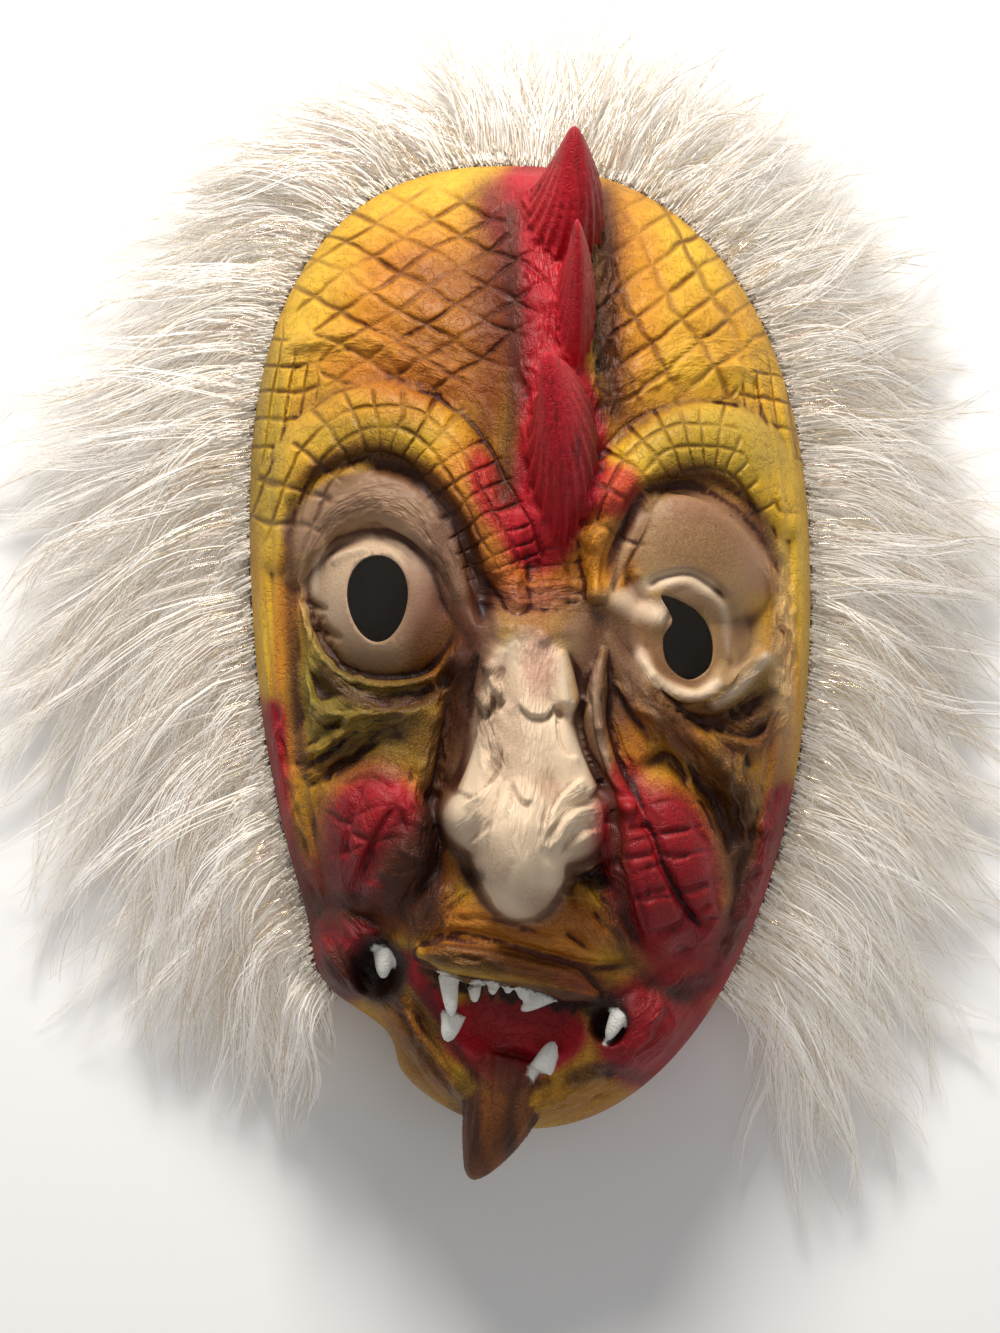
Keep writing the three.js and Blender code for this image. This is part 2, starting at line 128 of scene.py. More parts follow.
def mesh_from(name, points, faces):
    mesh = bpy.data.meshes.new(name)
    mesh.vertices.add(len(points))
    mesh.vertices.foreach_set("co", (np.asarray(points, np.float32) * MM).ravel())
    mesh.loops.add(faces.size)
    mesh.loops.foreach_set("vertex_index", faces.ravel().astype(np.int32))
    mesh.polygons.add(len(faces))
    mesh.polygons.foreach_set("loop_start", np.arange(0, faces.size, faces.shape[1], dtype=np.int32))
    mesh.update(calc_edges=True)
    mesh.validate()
    return mesh


def object_from(name, points, faces):
    piece = bpy.data.objects.new(name, mesh_from(name, points, faces))
    scene.collection.objects.link(piece)
    return piece


def points_of(mesh, field="co"):
    values = np.empty(len(mesh.vertices) * 3, np.float32)
    if field == "normal":
        mesh.vertex_normals.foreach_get("vector", values)
    else:
        mesh.vertices.foreach_get("co", values)
    return values.reshape(-1, 3).astype(float)


def apply_modifiers(piece):
    graph = bpy.context.evaluated_depsgraph_get()
    mesh = bpy.data.meshes.new_from_object(piece.evaluated_get(graph))
    piece.modifiers.clear()
    old = piece.data
    piece.data = mesh
    bpy.data.meshes.remove(old)
    return mesh


def triangle_count(mesh):
    return sum(len(polygon.vertices) - 2 for polygon in mesh.polygons)


def joined(parts):
    points, faces, start = [], [], 0
    for part_points, part_faces in parts:
        points.append(part_points)
        faces.append(part_faces + start)
        start += len(part_points)
    return np.vstack(points), np.vstack(faces)


NOISE_CELLS = 64


def lattice_noise(u, v, seed):
    """Smooth random bumps from -1 to 1, one to a unit square, repeated after NOISE_CELLS of them."""
    table = np.random.default_rng(seed).uniform(-1, 1, (NOISE_CELLS, NOISE_CELLS))
    iu, iv = np.floor(u).astype(int), np.floor(v).astype(int)
    fu, fv = smooth_step(u - iu), smooth_step(v - iv)
    left, right = iu % NOISE_CELLS, (iu + 1) % NOISE_CELLS
    below, above = iv % NOISE_CELLS, (iv + 1) % NOISE_CELLS
    low = mix(table[left, below], table[right, below], fu)
    high = mix(table[left, above], table[right, above], fu)
    return mix(low, high, fv)


print("helpers ready")

# %% [markdown]
# ## Plan of the face
# Seen from above the casting is a squared egg on an axis that bows a little to the right, and the
# left wattle stands out past it. The sizes are those of the CAD part, so that the two match.

# %% Plan of the face
HALF_WIDTH, WIDEST_Y = 93.5, 38.5
CROWN_REACH, JAW_REACH = 131.5, 190
CROWN_POWER, JAW_POWER = 2.4, 2.1
SIDE_WALL, DOME_RISE = 46, 60
DOME_POWER, DOME_ROUND = 2.5, 1.9
AXIS_X, AXIS_Y, AXIS_BOW = 3.6, -45, 0.00018
# centre, reach and size of the bulge at the left wattle, and of the pinch in the jaw below it
SIDE_BULGES = (((-64, -98), 14, 5), ((-49.5, -118.5), 11.5, -7.5))
LATEX_WALL = 2.8
RELIEF_MARGIN = 0.04


def axis_x(y):
    return AXIS_X - AXIS_BOW * (y - AXIS_Y) ** 2


def side_bulge(x, y):
    """How far the outline stands out on the left."""
    return sum(size * np.exp(-((np.hypot(x - cx, y - cy) / reach) ** 2))
               for (cx, cy), reach, size in SIDE_BULGES)


def egg_point(p, q, inset=0.0):
    """Place on the egg for a point p, q of the unit disc."""
    radius = np.hypot(p, q)
    power = np.where(q > 0, CROWN_POWER, JAW_POWER)
    reach = np.where(q > 0, CROWN_REACH, JAW_REACH) - inset
    norm = (np.abs(p) ** power + np.abs(q) ** power) ** (1 / power)
    square = np.where(radius > 1e-9, radius / np.maximum(norm, 1e-9), 1)
    y = WIDEST_Y + q * square * reach
    x = axis_x(y) + p * square * (HALF_WIDTH - inset)
    return x - side_bulge(x, y), y


def egg_share(x, y):
    """0 at the middle of the face and 1 at its outline."""
    up = y > WIDEST_Y
    power = np.where(up, CROWN_POWER, JAW_POWER)
    u = np.abs(x + side_bulge(x, y) - axis_x(y)) / HALF_WIDTH
    v = np.abs(y - WIDEST_Y) / np.where(up, CROWN_REACH, JAW_REACH)
    return (u ** power + v ** power) ** (1 / power)


def dome_height(x, y):
    share = np.minimum(egg_share(x, y), 1)
    return SIDE_WALL + DOME_RISE * (1 - share ** DOME_POWER) ** (1 / DOME_ROUND)


def off_edge(x, y):
    """1 on the face, and fading to 0 at its outline, where nothing is carved."""
    return smooth_step((1 - egg_share(x, y)) / RELIEF_MARGIN)


print("top of the plain dome:", dome_height(np.array([AXIS_X]), np.array([WIDEST_Y])).round(1), "mm")


# %% [markdown]
# ## Strokes of the sculptor
# A clay face is built up from a few kinds of stroke: a ball pressed on, a hollow thumbed in, a roll
# of clay laid along a line, a crease, and the free edge of a flap. Each stroke here takes the points
# near it and the height so far, and gives the new height. A soft maximum melts a ball or a roll into
# what is under it. Modifiers such as Displace could do some of this, but strokes in numbers can be
# moved one by one until the face is right.

# %% Strokes
def oval_share(x, y, centre, size, turn):
    c, s = math.cos(math.radians(turn)), math.sin(math.radians(turn))
    dx, dy = x - centre[0], y - centre[1]
    return np.hypot((dx * c + dy * s) / size[0], (dy * c - dx * s) / size[1])


def soft_max(a, b, soft):
    share = np.clip(0.5 + 0.5 * (a - b) / soft, 0, 1)
    return mix(b, a, share) + soft * share * (1 - share)


ROUND_UNTIL, FALL_THERE, FALL_AFTER = 0.95, 0.688, 3.6


def round_fall(share):
    """Fall of a round body from its top, as a share of its depth; beside the body it goes on straight."""
    on_body = 1 - np.sqrt(np.maximum(1 - share ** 2, 0))
    return np.where(share < ROUND_UNTIL, on_body, FALL_THERE + FALL_AFTER * (share - ROUND_UNTIL))


def curve_through(points, steps=6):
    """Catmull-Rom curve through the points."""
    p = [np.array(q, float) for q in points]
    p = [2 * p[0] - p[1], *p, 2 * p[-1] - p[-2]]
    line = []
    for a, b, c, d in zip(p, p[1:], p[2:], p[3:]):
        for t in np.arange(steps) / steps:
            line.append((2 * b + (c - a) * t + (2 * a - 5 * b + 4 * c - d) * t * t
                         + (3 * b - a - 3 * c + d) * t ** 3) / 2)
    return np.array([*line, p[-2]])


def nearest_on(points):
    """For each place: its distance from the line, how far along it, and on which side (1 is left)."""
    line = curve_through(points)
    count = len(line) - 1

    def nearest(x, y):
        distance, share, side = np.full(x.shape, 1e9), np.zeros(x.shape), np.zeros(x.shape)
        for i in range(count):
            dx, dy = line[i + 1] - line[i]
            along = ((x - line[i][0]) * dx + (y - line[i][1]) * dy) / (dx * dx + dy * dy)
            t = np.clip(along, 0, 1)
            ex, ey = x - line[i][0] - t * dx, y - line[i][1] - t * dy
            here = np.hypot(ex, ey)
            closer = here < distance
            distance = np.where(closer, here, distance)
            share = np.where(closer, (i + t) / count, share)
            side = np.where(closer, np.sign(dx * ey - dy * ex), side)
        return distance, share, side

    return nearest


def end_fade(share, fade):
    return smooth_step(np.minimum(share, 1 - share) / fade + 0.15)


def stroke(function, points, reach):
    """Notes on the stroke the box that it can change, so that other points are left alone."""
    points = np.asarray(points, float)
    function.low, function.high = points.min(axis=0) - reach, points.max(axis=0) + reach
    return function


def swell(centre, size, turn, rise):
    def shape(x, y, z):
        return z + rise * np.maximum(1 - oval_share(x, y, centre, size, turn) ** 2, 0) ** 2
    return stroke(shape, [centre], max(size))


def lump(centre, size, turn, top, deep, soft):
    def shape(x, y, z):
        return soft_max(z, top - deep * round_fall(oval_share(x, y, centre, size, turn)), soft)
    return stroke(shape, [centre], 1.7 * max(size))


def bowl(centre, size, turn, bottom, rim, soft):
    def shape(x, y, z):
        wall = mix(bottom, rim, oval_share(x, y, centre, size, turn) ** 2.2)
        return -soft_max(-z, -wall, soft)
    return stroke(shape, [centre], 1.8 * max(size))


def fold(points, width, rise, fade=0.15):
    nearest = nearest_on(points)

    def shape(x, y, z):
        distance, share, _ = nearest(x, y)
        return z + rise * end_fade(share, fade) * np.exp(-((distance / width) ** 2))
    return stroke(shape, points, 2.6 * width)


def roll(points, width, top, deep, soft, fade=0.25):
    nearest = nearest_on(points)

    def shape(x, y, z):
        distance, share, _ = nearest(x, y)
        full = end_fade(share, fade)
        wide = mix(width[0], width[1], share) * mix(0.4, 1, full)
        crest = mix(top[0], top[1], share) - (1 - full) * deep * 0.45
        return soft_max(z, crest - deep * round_fall(distance / wide), soft)
    return stroke(shape, points, 1.8 * max(width))


def flap(points, high, low, reach, lip=4.0):
    """Free edge of a flap: high on the left of the line's way, low on its right."""
    nearest = nearest_on(points)

    def shape(x, y, z):
        distance, share, side = nearest(x, y)
        on_flap = smooth_step(distance * side / lip + 0.5)
        fall = np.exp(-((distance / reach) ** 1.3))
        return z + end_fade(share, 0.2) * fall * mix(-low, high, on_flap)
    return stroke(shape, points, 3.5 * reach)


def carve(x, y, strokes):
    shape_of_grid = x.shape
    x, y = x.ravel(), y.ravel()
    z = np.zeros(x.size)
    for shape in strokes:
        in_box = (x > shape.low[0]) & (x < shape.high[0]) & (y > shape.low[1]) & (y < shape.high[1])
        near = np.flatnonzero(in_box)
        if near.size:
            z[near] = shape(x[near], y[near], z[near])
    return z.reshape(shape_of_grid)


print("strokes ready")

# %% [markdown]
# ## The face, stroke by stroke
# The big forms are those of the CAD part: comb ridge, brows, eye hollows with their lids and bags,
# the long nose, the cheeks, lips and wattles. The smaller folds that a sculptor adds last come after
# them in each list. All numbers are millimetres and degrees. A fold has its line, width and rise. A
# lump has its centre, half sizes, turn, top, depth and softness, and a bowl its bottom and rim in
# place of top and depth. A roll has its line, then width and top at both ends, depth and softness.

# %% Big forms and folds
FOREHEAD = [
    fold([[4, 176], [7, 140], [8, 105], [7, 70], [4, 34]], 15, 10),
    fold([[-82, 106], [-62, 111], [-42, 106], [-18, 94]], 4.5, 3.4),
    fold([[-66, 128], [-38, 122], [-14, 108]], 6, 2.2),
    fold([[28, 92], [50, 102], [78, 100]], 5.5, 3),
    fold([[24, 104], [46, 118], [70, 118]], 6, 1.5),
    fold([[-82, 112], [-87, 70], [-88, 20], [-83, -20]], 4, 3),
    fold([[86, 100], [92, 60], [93, 10], [88, -44]], 4, 3),
]
BROWS = [
    roll([[-82, 40], [-70, 68], [-50, 82], [-31, 77], [-18, 60], [-9, 42], [-2, 24]],
         (15, 9), (8.5, 10.5), 12, 11),
    roll([[24, 27], [28, 46], [38, 67], [56, 77], [74, 72], [88, 50]], (9, 13), (10.5, 8.5), 12, 10),
    lump([28, 58], [9, 8], 20, 13, 9, 3),
    lump([26, 45], [8, 6], 0, 11, 8, 3),
    swell([1, 16], [24, 22], 0, 6),
]
LEFT_EYE = [
    bowl([-48, 25], [34, 41], 6, -9, 6, 4),
    lump([-46, 23], [25, 26], 6, 3, 13, 6),
    roll([[-76, 32], [-70, 50], [-52, 59], [-36, 53], [-23, 37], [-16, 12]], (9, 7), (5, 3.5), 8, 5, 0.15),
    flap([[-73, 33], [-64, 43], [-49, 48], [-36, 44], [-26, 33], [-20, 18]], 1.2, 1.5, 4.5, 2.5),
    flap([[-20, 14], [-30, 1], [-46, -2], [-60, 2], [-69, 14], [-73, 32]], 5, 5, 6),
    flap([[-22, 4], [-31, -8], [-50, -12], [-66, -9], [-73, 6]], 4, 5, 6),
    roll([[-73, -30], [-68, -18], [-58, -11], [-44, -12]], (7, 5), (4, 2), 8, 4),
    fold([[-68, -33], [-54, -25], [-38, -17]], 5, -5),
]
RIGHT_EYE = [
    bowl([57, 26], [32, 38], -8, -9, 6, 4),
    lump([58, 40], [28, 22], -18, 9, 12, 4),
    lump([54, 12], [21, 20], 0, 2, 9, 4),
    fold([[20, 27], [30, 24], [40, 20.5], [47, 18]], 5.5, 4.0, 0.12),
    fold([[37, 9], [42, 0], [50, -5], [57, -6.5], [63, -3], [67, 5]], 2.8, 3.4),
    fold([[60, -11], [70, -5], [81, 8]], 3.2, 3.6),
    fold([[38, -4], [50, -15], [66, -15], [82, -4]], 4.5, -5),
    roll([[28, 12], [40, -8], [54, -22], [70, -34], [73, -56]], (6.5, 6.5), (4, 5), 9, 4),
    fold([[42, -24], [54, -40], [68, -60]], 6.5, -8),
]
NOSE = [
    fold([[1, 22], [-1, -10], [-2, -50]], 19, 9),
    fold([[-24, 6], [-26, -24], [-31, -50], [-32, -78]], 6.5, -9),
    fold([[21, -8], [25, -26], [31, -46], [32, -76]], 5.5, -6.5),
    roll([[2, 16], [1, -8], [1, -32], [0, -54]], (11, 13), (12, 31), 20, 5, 0.12),
    lump([1.5, -47], [26, 16], -4, 31, 24, 5),
    lump([-1, -56], [14.5, 22.5], 0, 37.5, 24, 11),
    roll([[-6, -12], [-10, -28], [-15, -42]], (7, 8), (15, 24), 18, 7, 0.12),
    roll([[8, -12], [12, -28], [18, -42]], (7.5, 8), (16, 25), 18, 7, 0.12),
    roll([[-7, 12], [-10, 2], [-12, -12]], (5.5, 5.5), (11, 14), 11, 3.5),
    roll([[8, 10], [11, 0], [14, -14]], (5.5, 6), (12, 16), 11, 3.5),
    roll([[26, 8], [23, -16], [30, -38], [35, -46]], (4, 4.5), (8, 7), 9, 3.5),
    roll([[-28, 0], [-31, -20], [-35, -42]], (4, 4), (1, 0), 8, 3.5),
]
CHEEKS = [
    lump([-49, -54], [20, 25], 0, 11, 16, 6),
    fold([[-37, -44], [-48, -60], [-56, -76]], 3, -3),
    lump([38, -62], [31, 13], -70, 12, 15, 8),
    lump([53, -62], [31, 14], -70, 11, 13, 8),
    roll([[-84, -8], [-80, -40], [-68, -76]], (5, 9), (4, 3), 9, 3),
    roll([[85, -40], [80, -68], [66, -98]], (6, 10), (5, 6), 10, 3),
]
MOUTH = [
    lump([-1, -82], [38, 19], 0, 10, 12, 6),
    bowl([-3, -113], [30, 19], -8, -14, 8, 3),
    bowl([-3, -130], [13, 16], 0, -12, 4, 3),
    roll([[-33, -91], [-20, -92.5], [-4, -95], [10, -99], [23, -105]], (5.5, 6), (14.5, 12.5), 12, 3, 0.2),
    lump([-60, -93], [17, 18], 0, 10, 20, 3),
    bowl([-47, -97], [10, 13], 0, -10, 6, 3),
    lump([40, -119], [20, 16], 40, 9, 16, 3),
    bowl([27, -115], [8, 8], 0, -8, 6, 3),
    roll([[-46, -110], [-32, -124], [-14, -144]], (6, 7), (4, 5), 8, 4),
    roll([[28, -130], [12, -140], [-4, -147]], (6, 7), (4, 5), 8, 4),
]
strokes = [*FOREHEAD, *BROWS, *LEFT_EYE, *RIGHT_EYE, *NOSE, *CHEEKS, *MOUTH]


def skin_height(x, y):
    return dome_height(x, y) + off_edge(x, y) * carve(x, y, strokes)


print("strokes in the face:", len(strokes))


# %% [markdown]
# ## From strokes to one skin
# The strokes give a height for each place, which is a block with a relief on top. The comb fins,
# teeth and spur overhang, so they are closed horns of their own. A voxel remesh melts them all into
# one skin, as they are in the mould. The grid of the block is as fine as the voxels, or steep walls
# would come out in steps.

# %% Block and horns
BLOCK_ACROSS, BLOCK_ALONG = 420, 670


def relief_block(across, along, inset, base, height, bunching=0.2):
    """Closed block on the egg: its top follows the height, its foot is flat."""
    a, b = np.meshgrid(np.linspace(-1, 1, across + 1), np.linspace(-1, 1, along + 1))
    p, q = a * np.sqrt(1 - b * b / 2), b * np.sqrt(1 - a * a / 2)
    radius = np.hypot(p, q)
    bunched = mix(radius, np.sin(radius * math.pi / 2), bunching)
    k = np.where(radius > 1e-9, bunched / np.maximum(radius, 1e-9), 1)
    x, y = egg_point(p * k, q * k, inset)
    top = np.stack([x, y, height(x, y)], axis=-1).reshape(-1, 3)
    grid = np.arange(top.shape[0]).reshape(a.shape)
    cells = np.stack([grid[:-1, :-1], grid[:-1, 1:], grid[1:, 1:], grid[1:, :-1]], axis=-1).reshape(-1, 4)
    ring = np.concatenate([grid[0, :-1], grid[:-1, -1], grid[-1, :0:-1], grid[:0:-1, 0]])
    foot = top[ring] * [1, 1, 0] + [0, 0, base]
    first = len(top)
    lower = first + np.arange(len(ring))
    centre = first + len(ring)
    following = np.roll(np.arange(len(ring)), -1)
    walls = np.stack([ring, lower, lower[following], ring[following]], axis=-1)
    points = np.vstack([top, foot, foot.mean(axis=0)])
    quads = np.vstack([cells, walls])
    triangles = np.vstack([quads[:, [0, 1, 2]], quads[:, [0, 2, 3]],
                           np.stack([lower, np.full(len(ring), centre), lower[following]], axis=-1)])
    return points, triangles


def horn(base, tip, lean, along_axis, across_axis, along, across, taper, ribs=(0, 0.0),
         sides=56, steps=40):
    """Tapered body with oval sections, ribbed along its length."""
    base, tip, lean = (np.array(v, float) for v in (base, tip, lean))
    long, short = (np.array(v, float) / np.linalg.norm(v) for v in (along_axis, across_axis))
    if np.dot(np.cross(long, tip - base), short) < 0:
        short = -short
    share = np.linspace(0, 0.995, steps + 1)[:, None, None]
    angle = -np.linspace(0, 2 * math.pi, sides, endpoint=False)[None, :, None]
    size = mix(1, taper, share) * np.sqrt(np.maximum(1 - share ** 6, 0.0))
    size = size * (1 + ribs[1] * np.sin(ribs[0] * angle + 2.5 * share))
    spine = base + (tip - base) * share + lean * np.sin(math.pi * share)
    rings = spine + long * along * size * np.cos(angle) + short * across * size * np.sin(angle)
    points = np.vstack([rings.reshape(-1, 3), base, tip])
    i, j = np.meshgrid(np.arange(steps), np.arange(sides), indexing="ij")
    a, b = i * sides + j, i * sides + (j + 1) % sides
    quads = np.stack([a, b, b + sides, a + sides], axis=-1).reshape(-1, 4)
    k = np.arange(sides)
    next_k = (k + 1) % sides
    foot = np.stack([np.full(sides, len(points) - 2), next_k, k], axis=-1)
    last = steps * sides
    cap = np.stack([np.full(sides, len(points) - 1), last + k, last + next_k], axis=-1)
    return points, np.vstack([quads[:, [0, 1, 2]], quads[:, [0, 2, 3]], foot, cap])


# base, tip, lean, slope of the foot in degrees, half length and half thickness
FINS = [
    ([7, 142, 66], [16.5, 178, 112], [3, -4, 4], 42, 27, 18),
    ([14, 112, 84], [17, 146, 134], [2, -4, 2], 24, 27, 9),
    ([10, 66, 94], [6.5, 102, 146], [4, -5, 5], 4, 34, 15),
]
FIN_TAPER, FIN_RIBS = 0.22, (19, 0.09)


def comb_fins():
    for base, tip, lean, slope, along, across in FINS:
        tilt = math.radians(slope)
        foot = [0, math.cos(tilt), -math.sin(tilt)]
        yield horn(base, tip, lean, foot, [1, 0, 0], along, across, FIN_TAPER, FIN_RIBS)


# middle, length, width, heading in degrees, and rise above the skin
TEETH = [
    ([-46, -94], 13, 8.5, 268, 3), ([-24, -105.5], 14, 7, 275, 5), ([-24, -116], 10, 8.5, 255, 3.5),
    ([-16, -105], 6, 5, 270, 5), ([-10, -103.5], 3.5, 4.5, 270, 5), ([-5, -103.5], 3, 4, 270, 5),
    ([0, -104.5], 5, 6, 270, 4.5), ([4, -107.5], 12, 6.5, 210, 5), ([30.5, -114], 14, 7.5, 245, 5),
    ([8, -125.5], 11, 8.5, 65, 2),
]


TOOTH_TAPER = 0.55


def teeth():
    for (x, y), length, width, heading, lift in TEETH:
        dx, dy = math.cos(math.radians(heading)), math.sin(math.radians(heading))
        half = np.array([dx * length / 2, dy * length / 2, 0])
        z = float(skin_height(np.array([float(x)]), np.array([float(y)]))[0]) + lift
        yield horn([x, y, z] - half, [x, y, z + 1] + half, [0, 0, 1], [-dy, dx, 0], [0, 0, 1],
                   width / 2, width / 2, TOOTH_TAPER, sides=20, steps=14)


SPUR_BASE, SPUR_TIP, SPUR_LEAN = [-5, -126, 62], [-17, -168, 56], [2.5, 0, 6]
SPUR_TAPER, SPUR_RIBS = 0.33, (17, 0.07)


def chin_spur():
    return horn(SPUR_BASE, SPUR_TIP, SPUR_LEAN, [1, -0.25, 0], [0, 0, 1], 18, 13, SPUR_TAPER, SPUR_RIBS)


block = relief_block(BLOCK_ACROSS, BLOCK_ALONG, 0, 0, skin_height)
latex = object_from("latex_face_painted", *joined([block, *comb_fins(), *teeth(), chin_spur()]))
print("clay before the remesh:", len(latex.data.vertices), "points")

# %% One skin
VOXEL = 0.75 * MM
SMOOTHINGS = 6
remesh = latex.modifiers.new("one skin", "REMESH")
remesh.mode = "VOXEL"
remesh.voxel_size = VOXEL
soften = latex.modifiers.new("soften", "SMOOTH")
soften.factor = 0.5
soften.iterations = SMOOTHINGS
skin = apply_modifiers(latex)
print("skin:", len(skin.vertices), "points")

# %% [markdown]
# ## Fine tooling
# Over the big forms the sculptor draws with a wire tool: creases in the lids, plates on the cheeks,
# and a net of scales pressed into brows and forehead. A crease is a narrow fold. A net is two
# families of lines, either straight, or across and along a roll. Each point keeps its place in the
# net, u and v, so that the paint can later find the same lines and draw them sharper than the mesh
# can.

# %% Creases and ridges
# line, half width, and rise or depth
CREASES = [
    # left eye: rim, lid and bags
    ([[-75, 38], [-75, 55], [-66, 66], [-49, 70], [-33, 64], [-21, 47], [-14, 25], [-12, 8]], 2.6, -4.0),
    ([[-68, 55], [-58, 60], [-46, 60], [-34, 53], [-25, 40], [-20, 27]], 4.0, -0.8),
    ([[-67, 41], [-58, 46], [-48, 47], [-37, 43], [-30, 34]], 1.2, -0.9),
    ([[-68, 38], [-59, 43], [-49, 45], [-40, 41], [-34, 33]], 1.2, -1.0),
    ([[-63, 36], [-58, 39.5], [-50, 41.5]], 1.3, 1.2),
    ([[-75, 38], [-74.7, 18], [-74.3, -2], [-73.3, -18], [-71, -33]], 2.6, -4.2),
    ([[-74, 25], [-68, 22.7], [-64, 21]], 1.2, -1.2),
    ([[-73, 16.7], [-66, 14.3], [-59, 11.7]], 1.3, -1.4),
    ([[-70, 6], [-64, 2], [-60, -2]], 1.3, -1.2),
    ([[-62, 3], [-54, -4], [-40, -6], [-28, -3], [-22, 6]], 2.2, -2.6),
    ([[-73, -24], [-64, -18], [-58, -12]], 1.8, -2.2),
    ([[-72, -31], [-62, -24], [-52, -16]], 1.9, -2.5),
    ([[-64, -32], [-54, -26], [-44, -16]], 1.8, -2.0),
    ([[-73, -28], [-63, -21], [-55, -14]], 1.4, 1.3),
    # right eye: lid, crescent, lower roll and the long folds below it
    ([[26, 25], [28, 37], [34, 51], [39, 59], [48, 62], [60, 60], [72, 52], [80, 42], [85, 28]], 2.2, -4.0),
    ([[31, 27], [34, 40], [38, 52]], 1.3, 1.2),
    ([[40, 27.7], [44.3, 31.3], [54, 32.7], [61.7, 29], [67.7, 23]], 1.4, -2.4),
    ([[39, 5], [44, -2], [50, -6], [56, -7], [61, -6]], 1.9, 2.2),
    ([[63, -5], [71, 1], [81, 8]], 2.2, 2.6),
    ([[65, -14], [73, -16], [80, -12]], 1.8, 2.0),
    ([[66, -18], [74, -20], [81, -16]], 1.6, -2.0),
    ([[68, -23], [78, -23]], 1.6, 1.6),
    ([[42, -8], [50, -16], [56, -27]], 2.0, 2.4),
    ([[56, -18], [64, -28], [72, -40]], 2.2, 2.6),
    ([[50, -20], [59, -32], [66, -48]], 2.4, -3.0),
    # nose: flanks and the undercut of the wings
    ([[-15, 8], [-18, -15], [-20, -33], [-26, -46]], 2.6, -3.4),
    ([[16, 5], [20, -12], [24, -28], [29, -42], [31, -58]], 2.8, -2.4),
    ([[-3, -58], [-5, -66], [-5, -74]], 1.4, -0.6),
    ([[3, -56], [4, -66], [3, -74]], 1.4, -0.6),
    # cheeks
    ([[-52, -32], [-57, -48], [-59, -62]], 1.2, -1.7),
    ([[-41, -42], [-48, -53], [-54, -68]], 1.7, -2.4),
    ([[-61, -37], [-51, -33], [-41, -38]], 1.1, -1.3),
    ([[-64, -45], [-57, -50]], 1.1, -1.2),
    ([[-57, -52], [-50, -54]], 1.1, -1.2),
    ([[-39, -46], [-31, -50]], 1.0, 0.9),
    ([[-41, -56], [-33, -61]], 1.0, 0.9),
    ([[-48, -63], [-41, -66]], 1.0, 0.9),
    ([[-53, -68], [-44, -70]], 1.0, 0.8),
    ([[32, -30], [39, -43], [43, -53], [47, -65], [56, -80], [61, -83]], 1.6, -3.4),
    ([[34, -50], [42, -49]], 1.1, -1.6),
    ([[33, -60], [44, -58]], 1.1, -1.6),
    ([[34, -74], [42, -71], [48, -70]], 1.1, -1.8),
    ([[42, -86], [50, -83], [56, -78]], 1.2, -2.0),
    ([[44, -52], [56, -50]], 1.1, -1.4),
    ([[46, -59], [55, -59]], 1.1, -1.3),
    ([[50, -71], [62, -68]], 1.1, -1.6),
    ([[54, -80], [62, -75]], 1.1, -1.4),
    ([[41, -60], [41, -76]], 1.0, -1.0),
    ([[27, -42], [30, -55], [33, -75], [39, -90]], 3.2, -2.2),
    ([[48, -32], [59, -47], [65, -62], [66, -77]], 3.4, -1.8),
    # muzzle, lips and jaw
    ([[-34, -87], [-21, -85], [-1, -89], [16, -94], [26, -96], [39, -95]], 1.9, -2.6),
    ([[-26, -79], [-10, -80], [4, -84], [14, -88]], 1.3, -1.3),
    ([[17, -68], [23, -77], [27, -85]], 1.2, -1.6),
    ([[22, -67], [27, -75], [30, -82]], 1.2, -1.6),
    ([[12, -82], [20, -89], [29, -93]], 1.2, -1.4),
    ([[-35, -94], [-20, -92.5], [-4, -97], [14, -101], [30, -106]], 1.2, -1.3),
    ([[-43, -109], [-34, -124], [-21, -140]], 1.6, -2.0),
    ([[-38, -108], [-29, -124], [-18, -136]], 1.5, -1.7),
    ([[10, -136], [22, -131], [32, -133]], 1.6, -1.4),
    ([[4, -146], [18, -141], [30, -139]], 1.4, -1.3),
]
EDGES = [
    flap([[8.3, -74], [14, -67], [22, -64], [28, -58]], 1.2, 3.0, 3.5, 2.0),
    flap([[-24, -56], [-17, -61], [-12.7, -67], [-7.7, -75]], 1.2, 3.0, 3.5, 2.0),
    flap([[-33, -96], [-18, -101.5], [-1, -103], [12, -105], [26, -109]], 1.5, 7.0, 4.5, 1.8),
    flap([[24, -32], [34, -40], [44, -52]], 0.8, 1.6, 3.0, 1.5),
]
# layers of skin that hang over each other: down the left of the nose, up its right, across the shaft
DRAPES = [
    [[-6, -22], [-8, -32], [-14, -38], [-20, -42]], [[-7, -36], [-10, -46], [-15, -53], [-20, -56]],
    [[-9, -46], [-11, -56], [-10, -66], [-5, -75]], [[-5, -8], [-9, -16], [-11, -28]],
    [[25, -42], [18, -43], [12, -48], [9, -56]], [[27, -50], [20, -51], [14, -56], [10, -63]],
    [[20, -33], [15, -36], [10, -42], [8, -50]], [[19, -26], [14, -26], [11, -20], [11, -8]],
    [[-2, -9], [2, -13], [7, -13], [10, -9]], [[-4, -34], [-1, -40], [3, -41]],
    [[-12, -1], [-9, -8], [-12, -16]],
]
